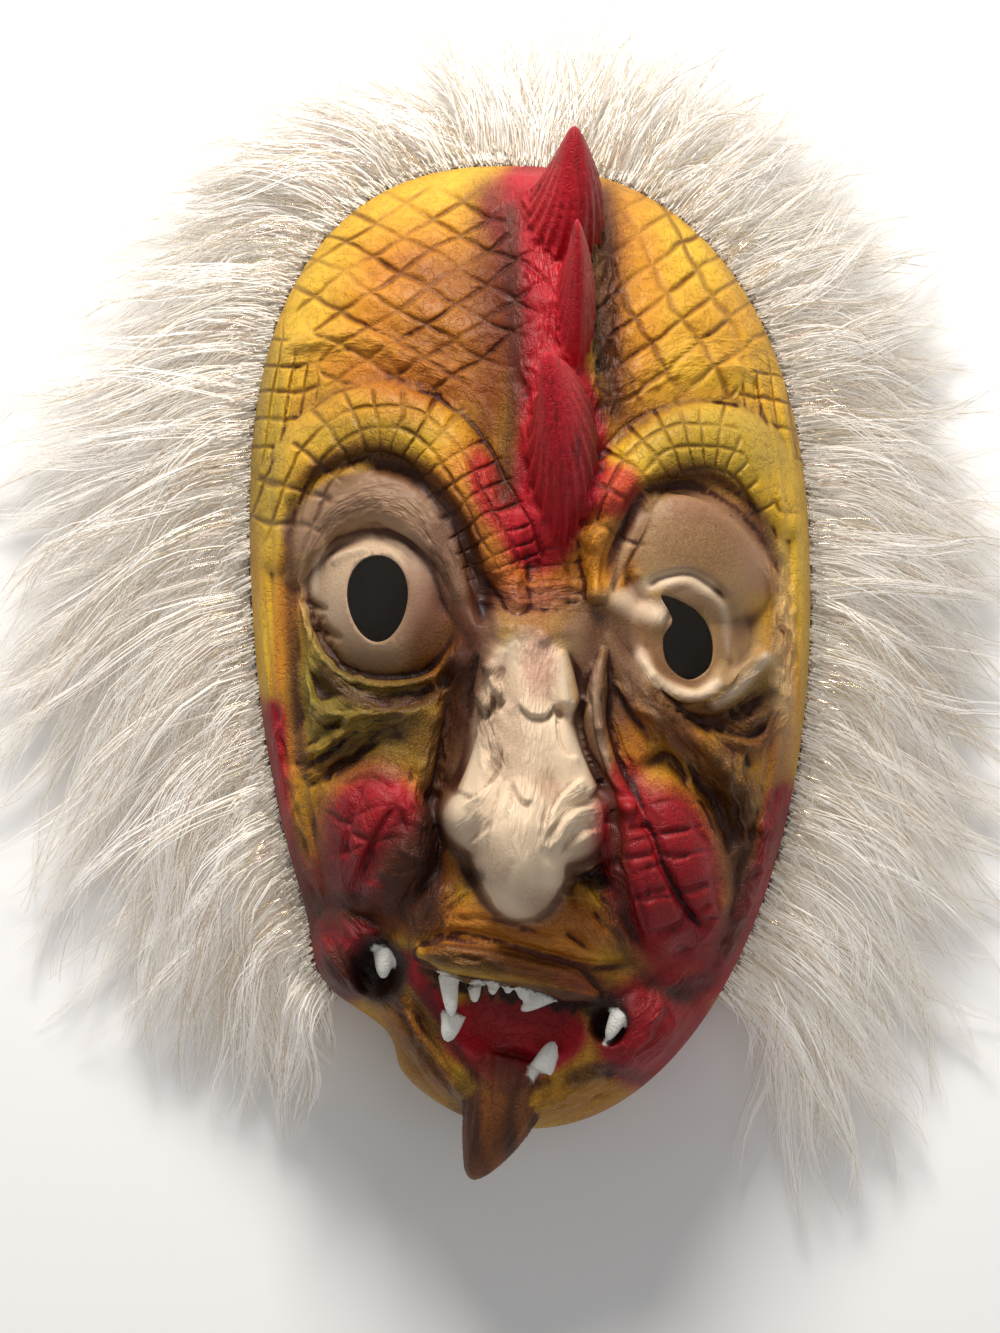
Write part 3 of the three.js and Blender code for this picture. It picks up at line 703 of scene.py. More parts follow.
# centre, radius and rise
WARTS = [
    ([-11.7, 2.5], 3.0, 2.4), ([-8.5, -4.5], 3.2, 2.8), ([-12.5, -9.5], 3.0, 2.6),
    ([-7.5, -13], 2.8, 2.2), ([6, 12], 3.4, 1.8), ([34, -43], 4.2, 4.0), ([-28, -37], 3.0, 1.6),
    ([-53.7, -1.5], 2.6, 2.6), ([24, -17], 2.6, 1.4), ([37, 33], 2.4, 0.8), ([28, -26], 2.4, 1.2),
]
CREASE_FADE = 0.22
tooling = [fold(line, width, rise, CREASE_FADE) for line, width, rise in CREASES]
tooling += [flap(line, high=1.5, low=1.9, reach=3.8, lip=1.5) for line in DRAPES]
tooling += [*EDGES, *(swell(place, (size, size), 0, rise) for place, size, rise in WARTS)]
print("creases, edges and warts:", len(tooling))


# %% Nets of scales
def line_sway(x, y, most, grain, seed):
    """How far the lines wander, in shares of their spacing."""
    return most * lattice_noise(x / grain, y / grain, seed) + 0.05 * lattice_noise(x / 4, y / 4, 4)


def pressed(strength, x, y):
    """A hand presses some lines deeper than others."""
    return strength * (0.75 + 0.5 * lattice_noise(x / 9, y / 9, 6))


def field_net(centre, size, turn, headings, spacings, most=1.0, fade=0.3):
    """Two families of straight lines inside an oval."""
    def net(x, y):
        strength = pressed(most * smooth_step((1 - oval_share(x, y, centre, size, turn)) / fade), x, y)
        sway = line_sway(x, y, 0.16, 15, 3)
        places = []
        for heading, spacing in zip(headings, spacings):
            c, s = math.cos(math.radians(heading)), math.sin(math.radians(heading))
            places.append((y * c - x * s) / spacing + sway)
        return (*places, strength)
    return net


def roll_net(points, half_width, crossings, spacing):
    """Lines across and along a roll of clay."""
    nearest = nearest_on(points)

    def net(x, y):
        distance, share, side = nearest(x, y)
        off_ends = smooth_step(np.minimum(share, 1 - share) / 0.05)
        strength = pressed(smooth_step((half_width - distance) / 3.5) * off_ends, x, y)
        sway = line_sway(x, y, 0.2, 12, 5)
        return share * crossings + sway, side * distance / spacing + 0.5 + sway, strength
    return net


NETS = [
    field_net([-40, 126], [54, 42], 12, (33, -30), (9.5, 10.5)),
    field_net([54, 124], [38, 48], 0, (38, -60), (10, 13)),
    field_net([-83, 96], [20, 34], -10, (82, 4), (5, 9)),
    field_net([84, 84], [17, 36], 5, (98, -6), (5, 9)),
    roll_net([[-84, 38], [-71, 70], [-50, 84], [-31, 79], [-18, 62], [-9, 44], [-4, 32]], 15, 17, 7.5),
    roll_net([[23, 36], [37, 68], [56, 79], [75, 74], [89, 52]], 14, 13, 7.5),
    field_net([6, 32], [17, 16], 0, (98, 6), (9, 5), 0.5),
    field_net([50, -66], [18, 34], 10, (-72, 12), (13, 10), 0.55),
    field_net([-50, -55], [17, 22], 0, (-66, 12), (14, 11), 0.4),
]
NET_DEPTH, NET_WIDTH, SCALE_BULGE = 1.35, 0.095, 0.35


def scale_net(x, y):
    """u, v and strength of the net that rules each point."""
    return strongest(x, y, NETS)


def net_groove(net):
    """1 in the middle of a line of the net and about 0 on the scales, which bulge a little."""
    off_line = np.minimum(*(np.abs(net[:, i] - np.round(net[:, i])) for i in (0, 1)))
    pillow = SCALE_BULGE * (0.5 - off_line)
    return net[:, 2] * (np.exp(-((off_line / NET_WIDTH) ** 2)) - pillow)


print("nets:", len(NETS))

# %% [markdown]
# ## Wrinkles that run with the form
# Stretched latex skin wrinkles along lines: round the rim of the face, down the nose, round the lids,
# down the wattles. A place across the lines and a place along them feed a stretched random pattern,
# which is long in one way and short in the other.


# %% Flowing folds
def ridges(u, v, seed):
    """Crests across u that run along v, wander, fork and end: -1 in the valleys, 1 on the crests."""
    bent = u + 0.8 * lattice_noise(u * 0.4, v * 1.7, seed + 1)
    bent = bent + 0.25 * lattice_noise(u, v * 5, seed + 3)
    coarse = 1 - 2.8 * np.abs(lattice_noise(bent, v, seed))
    fine = 1 - 2.8 * np.abs(lattice_noise(bent * 2.1, v * 2.3, seed + 2))
    return coarse + 0.4 * fine


def belt_place(points, half_width):
    """How far across and along a belt each place is, in mm, and how strong the belt is there."""
    nearest = nearest_on(points)
    length = np.linalg.norm(np.diff(curve_through(points), axis=0), axis=1).sum()

    def place(x, y):
        distance, share, side = nearest(x, y)
        strength = smooth_step((half_width - distance) / (0.6 * half_width))
        strength *= smooth_step(np.minimum(share, 1 - share) / 0.12 + 0.2)
        return side * distance, share * length, strength
    return place


def folds_along(points, half_width, spacing, depth, seed, stretch=4.5):
    """A belt of wrinkles beside a line."""
    place = belt_place(points, half_width)

    def shape(x, y, z):
        across, along, strength = place(x, y)
        crests = ridges(across / spacing, along / (spacing * stretch), seed)
        return z + FOLD_DEPTH * depth * strength * crests
    return stroke(shape, points, half_width)


FOLD_DEPTH = 1.35
# line, half width of the belt, spacing of its folds, and their depth
FOLD_BELTS = [
    # nose: shaft and wings
    ([[5, 14], [4, -8], [3, -34], [0, -62]], 10, 5.5, 0.2),
    ([[24, -40], [14, -46], [9, -58]], 9, 4.5, 0.25),
    ([[-9, 4], [-13, -8], [-12, -20], [-8, -32]], 6, 3.0, 0.8),
    ([[-8, -34], [-14, -46], [-20, -54]], 7, 4.5, 0.25),
    # flanks of the nose and the long folds under the eyes
    ([[-18, 14], [-24, -10], [-30, -30], [-33, -50]], 9, 4.0, 0.7),
    ([[24, 6], [27, -14], [34, -34]], 6, 3.8, 0.5),
    ([[34, 2], [44, -16], [58, -34], [68, -54]], 10, 4.4, 0.9),
    ([[62, -16], [72, -34], [76, -56]], 8, 4.2, 0.9),
    # lids and bags
    ([[-72, 30], [-64, 50], [-46, 58], [-30, 48], [-20, 26]], 7, 3.4, 0.3),
    ([[-70, 8], [-58, -5], [-42, -8], [-26, 0]], 7, 2.9, 0.7),
    ([[-72, -8], [-58, -16], [-38, -12]], 7, 3.2, 0.8),
    ([[-74, -34], [-62, -25], [-42, -17]], 10, 3.6, 0.9), ([[-68, 20], [-66, 6], [-54, -2]], 6, 2.8, 0.5),
    ([[36, -2], [50, -11], [66, -10], [82, 3]], 6, 3.0, 0.6),
    ([[66, -14], [76, -18], [84, -10]], 8, 3.0, 0.8), ([[82, 40], [86, 16], [86, -10]], 7, 3.0, 0.6),
    # muzzle and lips
    ([[14, -66], [22, -76], [33, -92]], 9, 4.4, 0.8), ([[-22, -68], [-27, -80], [-33, -92]], 7, 4.0, 0.7),
    ([[-32, -92], [-18, -95], [2, -98], [20, -102]], 6, 3.4, 0.45),
    ([[-26, -82], [0, -86], [22, -90]], 7, 4.6, 0.5),
    # jaw and chin
    ([[-44, -106], [-34, -124], [-18, -144]], 9, 3.6, 0.8),
    ([[36, -133], [20, -138], [2, -147]], 8, 3.6, 0.6),
    # wattles, edge patches and cheeks
    ([[-74, -80], [-66, -92], [-54, -108]], 13, 5.0, 0.8),
    ([[-56, -76], [-50, -84], [-44, -88]], 8, 3.6, 0.7),
    ([[56, -98], [48, -114], [32, -130]], 15, 5.4, 0.9),
    ([[87, -40], [81, -66], [70, -96]], 10, 4.2, 1.0),
    ([[-85, -10], [-80, -44], [-70, -78]], 8, 3.6, 0.9), ([[24, -44], [30, -66], [38, -90]], 6, 3.8, 0.7),
    ([[-32, -46], [-32, -66], [-38, -84]], 6, 3.8, 0.6),
    ([[-62, -38], [-54, -52], [-56, -72]], 10, 6.0, 0.35),
    # brow, forehead, root of the nose and comb
    ([[-20, 74], [-10, 52], [-4, 30]], 7, 3.4, 0.25), ([[26, 66], [20, 46], [14, 26]], 8, 3.4, 0.3),
    ([[-14, 30], [4, 26], [20, 28]], 9, 3.0, 0.45),
    ([[2, 168], [4, 140], [6, 110], [8, 80], [6, 48]], 13, 4.4, 0.7),
    ([[24, 160], [26, 130], [26, 100], [22, 74], [14, 48]], 8, 3.2, 0.8),
    ([[-80, 104], [-60, 108], [-40, 107], [-14, 97]], 9, 4.2, 0.45),
    ([[28, 92], [48, 104], [70, 106], [88, 98]], 10, 4.2, 0.5),
]
tooling += [folds_along(*belt, seed=200 + 5 * number) for number, belt in enumerate(FOLD_BELTS)]


def strongest(x, y, fields):
    """Places and strength of the strongest field at each point, faded where two are equally strong."""
    best, second = np.zeros((x.size, 3)), np.zeros(x.size)
    for field in fields:
        here = np.stack(field(x, y), axis=-1)
        stronger = here[:, 2] > best[:, 2]
        second = np.maximum(second, np.minimum(here[:, 2], best[:, 2]))
        best[stronger] = here[stronger]
    best[:, 2] *= smooth_step((best[:, 2] - second) / 0.2)
    return best


def fold_field(x, y):
    """Across, along and strength of the belt of folds that rules each point."""
    places = [belt_place(points, half_width) for points, half_width, *_ in FOLD_BELTS]
    return strongest(x, y, places)


print("belts of folds:", len(FOLD_BELTS))


# %% Wrinkles
def ring_lines(centre, size, turn, reach, across, along, depth, seed):
    """Wrinkles that run round a centre."""
    def wrinkle(x, y):
        share = oval_share(x, y, centre, size, turn)
        strength = smooth_step((share - reach[0]) / 0.15) * smooth_step((reach[1] - share) / 0.15)
        angle = np.arctan2(y - centre[1], x - centre[0])
        return depth * strength * lattice_noise(share * across, angle * along, seed)
    return wrinkle


def rim_lines(x, y):
    """Ribs that run beside the outline, on both sides below the temples."""
    inward = (1 - egg_share(x, y)) * HALF_WIDTH
    strength = smooth_step((15 - inward) / 4) * smooth_step((112 - y) / 12) * smooth_step((y + 92) / 10)
    return 2.2 * strength * (0.4 - np.abs(lattice_noise(inward / 2.6, y / 46, 11)))


def clay_wrinkles(centre, size, turn, grain, depth, seed):
    """Crumpled clay without a direction."""
    def wrinkle(x, y):
        strength = smooth_step((1 - oval_share(x, y, centre, size, turn)) / 0.3)
        coarse = lattice_noise(x / grain, y / grain, seed)
        fine = lattice_noise(x / grain * 2.1, y / grain * 2.1, seed + 1)
        return depth * strength * (0.5 - np.abs(coarse + 0.5 * fine))
    return wrinkle


WRINKLES = [
    rim_lines,
    ring_lines([-47, 24], [12, 16], 6, reach=(1.25, 2.2), across=6, along=1.6, depth=0.35, seed=31),
    ring_lines([55, 10], [9, 12], 0, reach=(1.3, 2.0), across=6, along=1.6, depth=0.3, seed=33),
    # centre, half sizes, turn, grain, depth and seed
    clay_wrinkles([-62, -93], [17, 20], 0, 4.2, 0.6, 41),
    clay_wrinkles([40, -120], [22, 17], 40, 4.0, 0.6, 43),
    clay_wrinkles([77, -68], [14, 36], -14, 4.5, 0.5, 45),
    clay_wrinkles([0, -82], [34, 14], 0, 5.0, 0.5, 49),
    clay_wrinkles([-8, -138], [34, 16], 0, 4.0, 0.7, 51),
    clay_wrinkles([4, 24], [16, 26], 0, 3.6, 0.5, 53),
    clay_wrinkles([-10, 10], [12, 16], 0, 3.0, 0.6, 55),
    clay_wrinkles([4, 128], [96, 52], 0, 3.4, 0.5, 57),
    clay_wrinkles([4, 70], [100, 40], 0, 2.8, 0.35, 59),
]


def fine_relief(x, y):
    net = scale_net(x, y)
    total = carve(x, y, tooling) - NET_DEPTH * net_groove(net)
    return total + sum(wrinkle(x, y) for wrinkle in WRINKLES)


MAP_STEP, MAP_LOW, MAP_HIGH = 0.5, (-104, -160), (104, 178)


def mapped(height):
    """The height worked out once on a fine grid, and read off between its places."""
    xs, ys = (np.arange(low, high, MAP_STEP) for low, high in zip(MAP_LOW, MAP_HIGH))
    grid_x, grid_y = np.meshgrid(xs, ys)
    table = height(grid_x.ravel(), grid_y.ravel()).reshape(grid_x.shape)

    def read(x, y):
        u = np.clip((x - MAP_LOW[0]) / MAP_STEP, 0, len(xs) - 1.001)
        v = np.clip((y - MAP_LOW[1]) / MAP_STEP, 0, len(ys) - 1.001)
        iu, iv = u.astype(int), v.astype(int)
        below = mix(table[iv, iu], table[iv, iu + 1], u - iu)
        above = mix(table[iv + 1, iu], table[iv + 1, iu + 1], u - iu)
        return mix(below, above, v - iv)
    return read


skin_map, fine_map = mapped(skin_height), mapped(fine_relief)
points = points_of(skin) / MM
normals = points_of(skin, "normal")
x, y, z = points.T
# the tool reaches what looks up and lies on the face, and leaves fins, teeth and steep walls alone
off_horns = smooth_step((skin_map(x, y) + 3.5 - z) / 1.5)
looks_up = smooth_step((normals[:, 2] - 0.22) / 0.4)
reached = looks_up * off_horns * off_edge(x, y)
points += normals * (reached * fine_map(x, y))[:, None]
skin.vertices.foreach_set("co", (points * MM).astype(np.float32).ravel())
skin.update()
print("finest mesh:", triangle_count(skin), "triangles")

# %% [markdown]
# ## Hollow inside and eye holes
# Latex is poured into the mould and drained again, so the inside is a smoother, smaller face. It
# follows the dome at wall thickness and bridges the narrow folds. Boolean modifiers cut it and the
# two eye holes out of the skin. A Decimate modifier then spends the triangles where the form needs
# them.

# %% Cutters
BRIDGE_REACH = 6.5
HOLLOW_FLOOR = -5
HOLLOW_ACROSS, HOLLOW_ALONG = 60, 92
HOLE_SPAN = (-1, 200)


def lowest_near(height, x, y, reach, radius):
    """Lowest underside of a ball rolled over the places within reach."""
    lowest = height(x, y) - radius
    for share in (0.5, 1):
        drop = math.sqrt(max(radius ** 2 - (share * reach) ** 2, 0))
        for angle in np.arange(8) * math.pi / 4:
            lowest = np.minimum(lowest, height(x + share * reach * math.cos(angle),
                                               y + share * reach * math.sin(angle)) - drop)
    return lowest


def relief_only(x, y):
    return skin_map(x, y) - dome_height(x, y) + off_edge(x, y) * np.minimum(fine_map(x, y), 0)


def hollow_height(x, y):
    dome = lowest_near(dome_height, x, y, 0.97 * LATEX_WALL, LATEX_WALL)
    return dome + lowest_near(relief_only, x, y, BRIDGE_REACH, 0)


def prism(outline, bottom, top):
    """Closed upright prism on an outline."""
    x, y = outline.T
    if np.dot(x, np.roll(y, -1)) < np.dot(y, np.roll(x, -1)):
        outline = outline[::-1]
    count = len(outline)
    lower = np.column_stack([outline, np.full(count, bottom)])
    upper = np.column_stack([outline, np.full(count, top)])
    points = np.vstack([lower, upper, lower.mean(axis=0), upper.mean(axis=0)])
    i = np.arange(count)
    j = (i + 1) % count
    foot, head = np.full(count, 2 * count), np.full(count, 2 * count + 1)
    return points, np.vstack([np.stack(f, axis=-1) for f in (
        (i, j, j + count), (i, j + count, i + count), (foot, j, i), (head, i + count, j + count))])


def left_hole():
    """An egg with its wide end up."""
    centre, half_width, half_length, widening = (-47.7, 25), 10, 14.2, 0.12
    angle = np.linspace(0, 2 * math.pi, 48, endpoint=False)
    wide = half_width * (1 + widening * np.sin(angle))
    return np.column_stack([centre[0] + wide * np.cos(angle), centre[1] + half_length * np.sin(angle)])


def right_hole():
    """A drop with its point at the inner corner."""
    corners = [[45, 26], [56, 21.5], [61.5, 13], [61, 3], [54, -1.5], [47, 3.5], [45.5, 12], [48.5, 18]]
    steps = 8
    line = curve_through([*corners, *corners[:3]], steps)
    return line[steps:steps * (1 + len(corners))]


def cut_with(piece, name, points, faces):
    cutter = object_from(name, points, faces)
    cut = piece.modifiers.new(name, "BOOLEAN")
    cut.operation, cut.solver, cut.object = "DIFFERENCE", "MANIFOLD", cutter
    return cutter


cutters = [
    cut_with(latex, "hollow",
             *relief_block(HOLLOW_ACROSS, HOLLOW_ALONG, LATEX_WALL, HOLLOW_FLOOR, hollow_height)),
    cut_with(latex, "left eye hole", *prism(left_hole(), *HOLE_SPAN)),
    cut_with(latex, "right eye hole", *prism(right_hole(), *HOLE_SPAN)),
]
apply_modifiers(latex)
for cutter in cutters:
    bpy.data.objects.remove(cutter)
LATEX_TRIANGLES = 188000
fewer = latex.modifiers.new("fewer triangles", "DECIMATE")
fewer.ratio = min(LATEX_TRIANGLES / triangle_count(latex.data), 1)
latex.modifiers.new("only triangles", "TRIANGULATE")
apply_modifiers(latex)
latex.data.shade_smooth()
print("latex:", triangle_count(latex.data), "triangles")

# %% [markdown]
# ## Airbrush coats
# The casting comes out of the mould in plain latex and is painted by hand: a yellow ground, ochre and
# olive over it, taupe round the eyes, bone on the nose, red on comb, cheeks and wattles, and white
# teeth. Painted light goes on in the same coats: thin bone highlights along lids, rolls and ridges, a
# sheer umber that is partly the airbrush's brown and partly painted shade, brown that is dark paint and
# painted shade, and near black painted shadow in the deepest hollows. Each coat is a mask on the points
# of the mesh, made of soft ovals and soft bands, as an airbrush lays them down.
# The masks are kept apart, so that the material can roughen each edge with the grain of the spray. A
# spot has its centre, half sizes, turn, softness and strength, and a band its line, width, softness
# and strength. An image texture would hold the same, but it would have to be painted flat on an
# unwrapped face.

# %% Masks
def srgb(*levels):
    """Screen colour from 0 to 255, as the linear colour that a shader takes."""
    return (*(v / 3294.6 if v < 10.3 else ((v / 255 + 0.055) / 1.055) ** 2.4 for v in levels), 1)


def spot(centre, size, turn=0, soft=0.5, strength=1.0):
    def mask(x, y):
        return strength * smooth_step((1 - oval_share(x, y, centre, size, turn)) / soft + 0.5)
    return mask


def band(points, width, soft, strength=1.0):
    nearest = nearest_on(points)

    def mask(x, y):
        return strength * smooth_step((width - nearest(x, y)[0]) / soft + 0.5)
    return mask


COATS = {
    "ochre": [
        spot([-28, 120], [34, 34], 0, 0.9, 0.75), spot([34, 126], [13, 42], 0, 0.9, 0.65),
        spot([66, 112], [18, 12], 0, 0.9, 0.3), spot([-40, 97], [30, 7], -10, 0.8, 0.7),
        spot([0, 38], [30, 18], 0, 0.8, 0.8), spot([-15, 52], [15, 26], 15, 0.8, 0.8),
        spot([31, 44], [9, 22], 0, 0.7, 0.6), spot([0, -83], [34, 13], 0, 0.6, 0.9),
        spot([32, -20], [11, 15], 0, 0.6, 0.8), spot([-77, 0], [6, 44], 0, 0.6, 0.8),
        band([[-70, 50], [-60, 61], [-45, 65], [-33, 61], [-24, 48]], 2, 3, 0.6),
        band([[52, 56], [64, 54], [73, 46], [79, 32]], 6, 6, 0.9), spot([84, -8], [9, 30], 0, 0.8, 0.6),
        spot([24, -138], [22, 12], 0, 0.8, 0.5), spot([-36, -122], [9, 24], 25, 0.7, 0.6),
        spot([18, -97], [10, 5], -20, 0.7, 0.8),
    ],
    "olive": [
        spot([-54, -10], [24, 20], 0, 0.5, 0.8), spot([-64, 6], [12, 22], 0, 0.6, 0.7),
        spot([62, 76], [28, 13], 0, 0.7, 0.5), spot([-86, 80], [8, 36], 0, 0.8, 0.5),
        band([[-28, -92], [-18, -93], [-8, -95]], 3, 4, 0.6), spot([76, -6], [12, 16], 0, 0.7, 0.6),
        spot([-50, 78], [24, 6], 0, 0.8, 0.4), spot([-40, -128], [8, 16], 30, 0.8, 0.3),
    ],
    # sheer umber: partly the airbrush's own brown, partly painted shade under brows and lids, beside the
    # nose, down the lower half and along the sides
    "umber": [
        band([[-12, 158], [-10, 140], [-8, 118], [-9, 98], [-11, 82]], 7, 14, 0.85),
        band([[27, 160], [29, 140], [29, 118], [30, 98], [30, 86]], 5, 12, 0.9),
        spot([-20, 112], [22, 30], 0, 0.9, 0.45),
        band([[-72, 64], [-58, 73], [-44, 73], [-29, 63], [-19, 46], [-13, 26]], 3, 9, 0.85),
        band([[34, 48], [42, 62], [56, 67], [70, 60], [80, 44]], 2.5, 7, 0.9),
        spot([-52, 86], [22, 9], 0, 0.9, 0.35), spot([-38, 12], [22, 24], 0, 0.8, 0.5),
        spot([-28, 10], [10, 18], 0, 0.8, 0.7), spot([-26, 40], [10, 18], -30, 0.9, 0.5),
        band([[-14, 28], [-18, 6], [-22, -14]], 5, 8, 0.85), spot([-50, -14], [28, 18], 0, 0.8, 0.3),
        spot([-35, -66], [14, 20], 0, 0.8, 0.9), spot([-68, -60], [10, 26], 0, 0.8, 0.7),
        spot([-52, -80], [22, 8], 0, 0.9, 0.8), spot([56, 44], [16, 12], -20, 0.9, 0.4),
        spot([64, -18], [22, 10], 0, 0.9, 0.7), spot([28, 4], [8, 22], 10, 0.9, 0.6),
        band([[42, -8], [56, -26], [68, -48], [71, -72], [64, -96]], 5, 10, 0.65),
        spot([78, -34], [9, 30], 0, 0.9, 0.6), spot([0, -134], [100, 32], 0, 0.9, 0.35),
        spot([-34, -118], [8, 20], 25, 0.9, 0.5), spot([50, -64], [26, 36], 8, 0.9, 0.5),
        spot([-50, -58], [20, 24], 0, 0.9, 0.45), spot([-60, -92], [18, 20], 0, 0.9, 0.4),
        spot([-8, -12], [8, 22], 10, 0.9, 0.35),
        band([[-30, -91], [-10, -94], [8, -98], [24, -105]], 4, 6, 0.8),
        spot([22, -104], [20, 6], -15, 0.9, 0.7), spot([14, -78], [16, 6], -25, 0.9, 0.5),
        spot([-60, -99], [9, 9], 0, 0.9, 0.8), spot([-86, -46], [5, 40], 0, 0.9, 0.5),
        spot([88, -60], [6, 34], 0, 0.9, 0.4), spot([0, 20], [28, 9], 0, 0.9, 0.4),
        spot([-14, -62], [9, 8], 0, 0.9, 0.35), spot([24, -60], [8, 8], 0, 0.9, 0.4),
    ],
    # brown: the dark paint of spur and creases, and painted shade under brows and lids, down the flanks of
    # the nose and under wattles and lips
    "brown": [
        band([[-4, 152], [-4, 130], [-3, 110], [-3, 92], [-5, 72], [-6, 58]], 3, 6, 0.8),
        band([[26, 158], [27, 140], [27, 120], [28, 100], [29, 88]], 3, 6, 0.85),
        band([[-68, 67], [-56, 71], [-42, 70], [-29, 60], [-19, 44], [-14, 26]], 2, 5, 0.8),
        band([[-76, 58], [-77, 34], [-76, 10], [-75, -12], [-72, -32]], 2.2, 4, 0.8),
        band([[-66, 2], [-56, -7], [-42, -9], [-29, -6], [-21, 6]], 2.6, 3.5, 0.8),
        spot([-34, -19], [16, 7], -10, 0.8, 0.6), spot([-46, -30], [24, 5], 8, 0.8, 0.5),
        band([[-18, 2], [-22, -14], [-26, -30], [-31, -48], [-32, -66], [-31, -80]], 4, 7, 0.7),
        band([[22, -14], [25, -28], [30, -44], [31, -56], [32, -70], [33, -84]], 2.5, 5, 0.7),
        band([[40, -6], [50, -13], [60, -15], [72, -13], [82, -5]], 2.4, 4, 0.7),
        spot([70, -44], [8, 26], 8, 0.7, 0.6),
        band([[66, -28], [71, -46], [73, -66], [68, -90]], 3, 6, 0.6),
        spot([-37, -68], [10, 16], 10, 0.7, 0.85), spot([-62, -76], [18, 5], 0, 0.8, 0.6),
        band([[-36, -80], [-38, -92], [-42, -106], [-35, -122], [-24, -138]], 1.6, 4, 0.7),
        band([[28, -76], [33, -90], [42, -101], [54, -107]], 2.5, 6, 0.75),
        spot([-12, -146], [13, 24], -14, 0.4, 0.6),
        band([[-33, -97], [-18, -101], [0, -102.5], [14, -105], [30, -110]], 2, 2, 0.85),
        band([[-30, -88], [-16, -89], [0, -92], [14, -96], [24, -101]], 0.8, 1.6, 0.8),
        band([[42, 61], [54, 65], [68, 62], [78, 52], [84, 38]], 1.5, 4, 0.7),
        band([[29, 28], [31, 42], [37, 54], [42, 61]], 0.8, 2, 0.8),
        band([[16, -132], [28, -130], [40, -134]], 2.5, 4, 0.6), spot([-60, -98], [6, 9], 20, 0.7, 0.7),
        band([[-24, -120], [-16, -132], [-6, -139], [8, -134]], 1.5, 3, 0.8),
    ],
    "taupe": [
        band([[-73, 48], [-62, 57], [-48, 60], [-35, 54], [-24, 40], [-17, 24], [-14, 8]], 7, 4, 0.9),
        spot([-47, 26], [25, 26], 0, 0.35, 0.75), spot([-17, 8], [9, 18], 0, 0.7, 0.6),
        spot([-48, 38], [29, 26], 0, 0.3, 0.85), spot([57, 42], [27, 19], -18, 0.5, 0.85),
        spot([55, 10], [24, 20], 0, 0.5, 0.8), spot([28, 4], [11, 20], 10, 0.7, 0.8),
        spot([4, 20], [26, 9], 0, 0.8, 0.65), band([[30, 14], [40, -8], [52, -22], [64, -34]], 4, 6, 0.5),
        band([[-24, -12], [-30, -34], [-31, -50]], 4, 5, 0.4),
        band([[-16, 12], [-18, -10], [-21, -30], [-26, -46]], 5, 5, 0.85),
        band([[17, 14], [21, -12], [24, -30], [29, -46]], 5, 5, 0.85),
    ],
    # bone: the real colour of the nose; the thin bands and spots along lids, lid rolls, warts, ridges and
    # the right rim are painted highlights
    "bone": [
        spot([2, 1], [13, 13], 0, 0.4), spot([1, -26], [19, 24], 0, 0.3),
        spot([0, -56], [18, 25], 0, 0.25), spot([-15, -49], [12, 14], 10, 0.3),
        spot([18, -50], [12, 15], -12, 0.3),
        band([[-9, 0], [-13, -10], [-14, -24], [-19, -44]], 3, 3, 0.9),
        band([[10, 4], [13, -8], [16, -24], [22, -44]], 3, 3, 0.95),
        band([[-69, 28], [-67, 38], [-60, 43.5], [-50, 45.5]], 1.2, 2.5, 0.8),
        spot([-33, 32], [3, 12], 0, 0.7, 0.4), band([[-68, 34], [-62, 39], [-54, 41]], 0.8, 1.6, 0.6),
        spot([-49, 25], [19, 22], 0, 0.6, 0.45),
        band([[34, 26], [42, 30], [52, 32.5], [60, 29]], 2.6, 3, 0.9),
        band([[60, 29], [66, 20], [67, 8]], 1.2, 3, 0.6),
        band([[38, 8], [43, -1], [50, -5], [57, -6.5], [63, -3]], 1.8, 2.2, 0.9),
        band([[62, -10], [70, -5], [80, 6]], 1.6, 2.2, 0.8), spot([38, 22], [11, 4.5], -18, 0.7, 0.85),
        spot([34, -43], [4, 4], 0, 0.5, 0.85), band([[29, 28], [33, 42], [38, 52]], 1.2, 3, 0.5),
        spot([86, 2], [4, 36], 0, 0.8, 0.35), band([[40, -8], [46, -17], [56, -29]], 1.2, 2.5, 0.6),
        band([[24, 4], [23, -12], [28, -32]], 1.5, 3, 0.55),
        band([[-40, 12], [-46, 9], [-53, 12]], 0.6, 1.2, 0.5),
    ],
    "red": [
        band([[6, 162], [4, 148], [5, 128], [7, 108], [9, 88], [8, 66], [5, 46]], 12.5, 6),
        band([[10, 100], [18, 78], [14, 56]], 10, 5), spot([29, 60], [10, 9], 20, 0.6, 0.85),
        spot([-11, 60], [6, 15], 18, 0.7, 0.9), spot([-3, 154], [11, 14], 0, 0.6, 0.8),
        spot([-48, -53], [19, 24], 0, 0.5), spot([-64, -72], [17, 13], 30, 0.8, 0.8),
        band([[-84, -14], [-83, -40], [-79, -62], [-70, -82]], 6, 4), spot([-61, -91], [15, 18], 0, 0.3),
        spot([38, -62], [14, 32], 12, 0.5), spot([50, -66], [16, 32], 8, 0.5),
        spot([56, -92], [17, 16], 0, 0.6, 0.9), band([[88, -44], [83, -64], [75, -84], [66, -100]], 9, 5),
        spot([44, -118], [21, 21], 30, 0.3), spot([-3, -118], [25, 15], 0, 0.25),
        spot([-5, -128], [13, 11], 0, 0.35), band([[-39, -94], [-32, -103], [-26, -111]], 4, 2),
        spot([2, 30], [14, 10], 0, 0.9, 0.35), spot([5, 4], [6, 12], 0, 0.9, 0.3),
        spot([33, -34], [6, 7], 0, 0.8, 0.7),
    ],
    # near black painted shadow: mouth corners, nostrils, under the upper lip, in creases and beside the
    # comb fin
    "deep": [
        band([[22, 140], [23, 122], [25, 100]], 2, 3, 0.8), spot([-47, -98], [10, 12], 0, 0.5, 0.95),
        spot([28, -113], [7, 9], 0, 0.6, 0.9), spot([23, -67], [7, 3], -15, 0.6, 0.8),
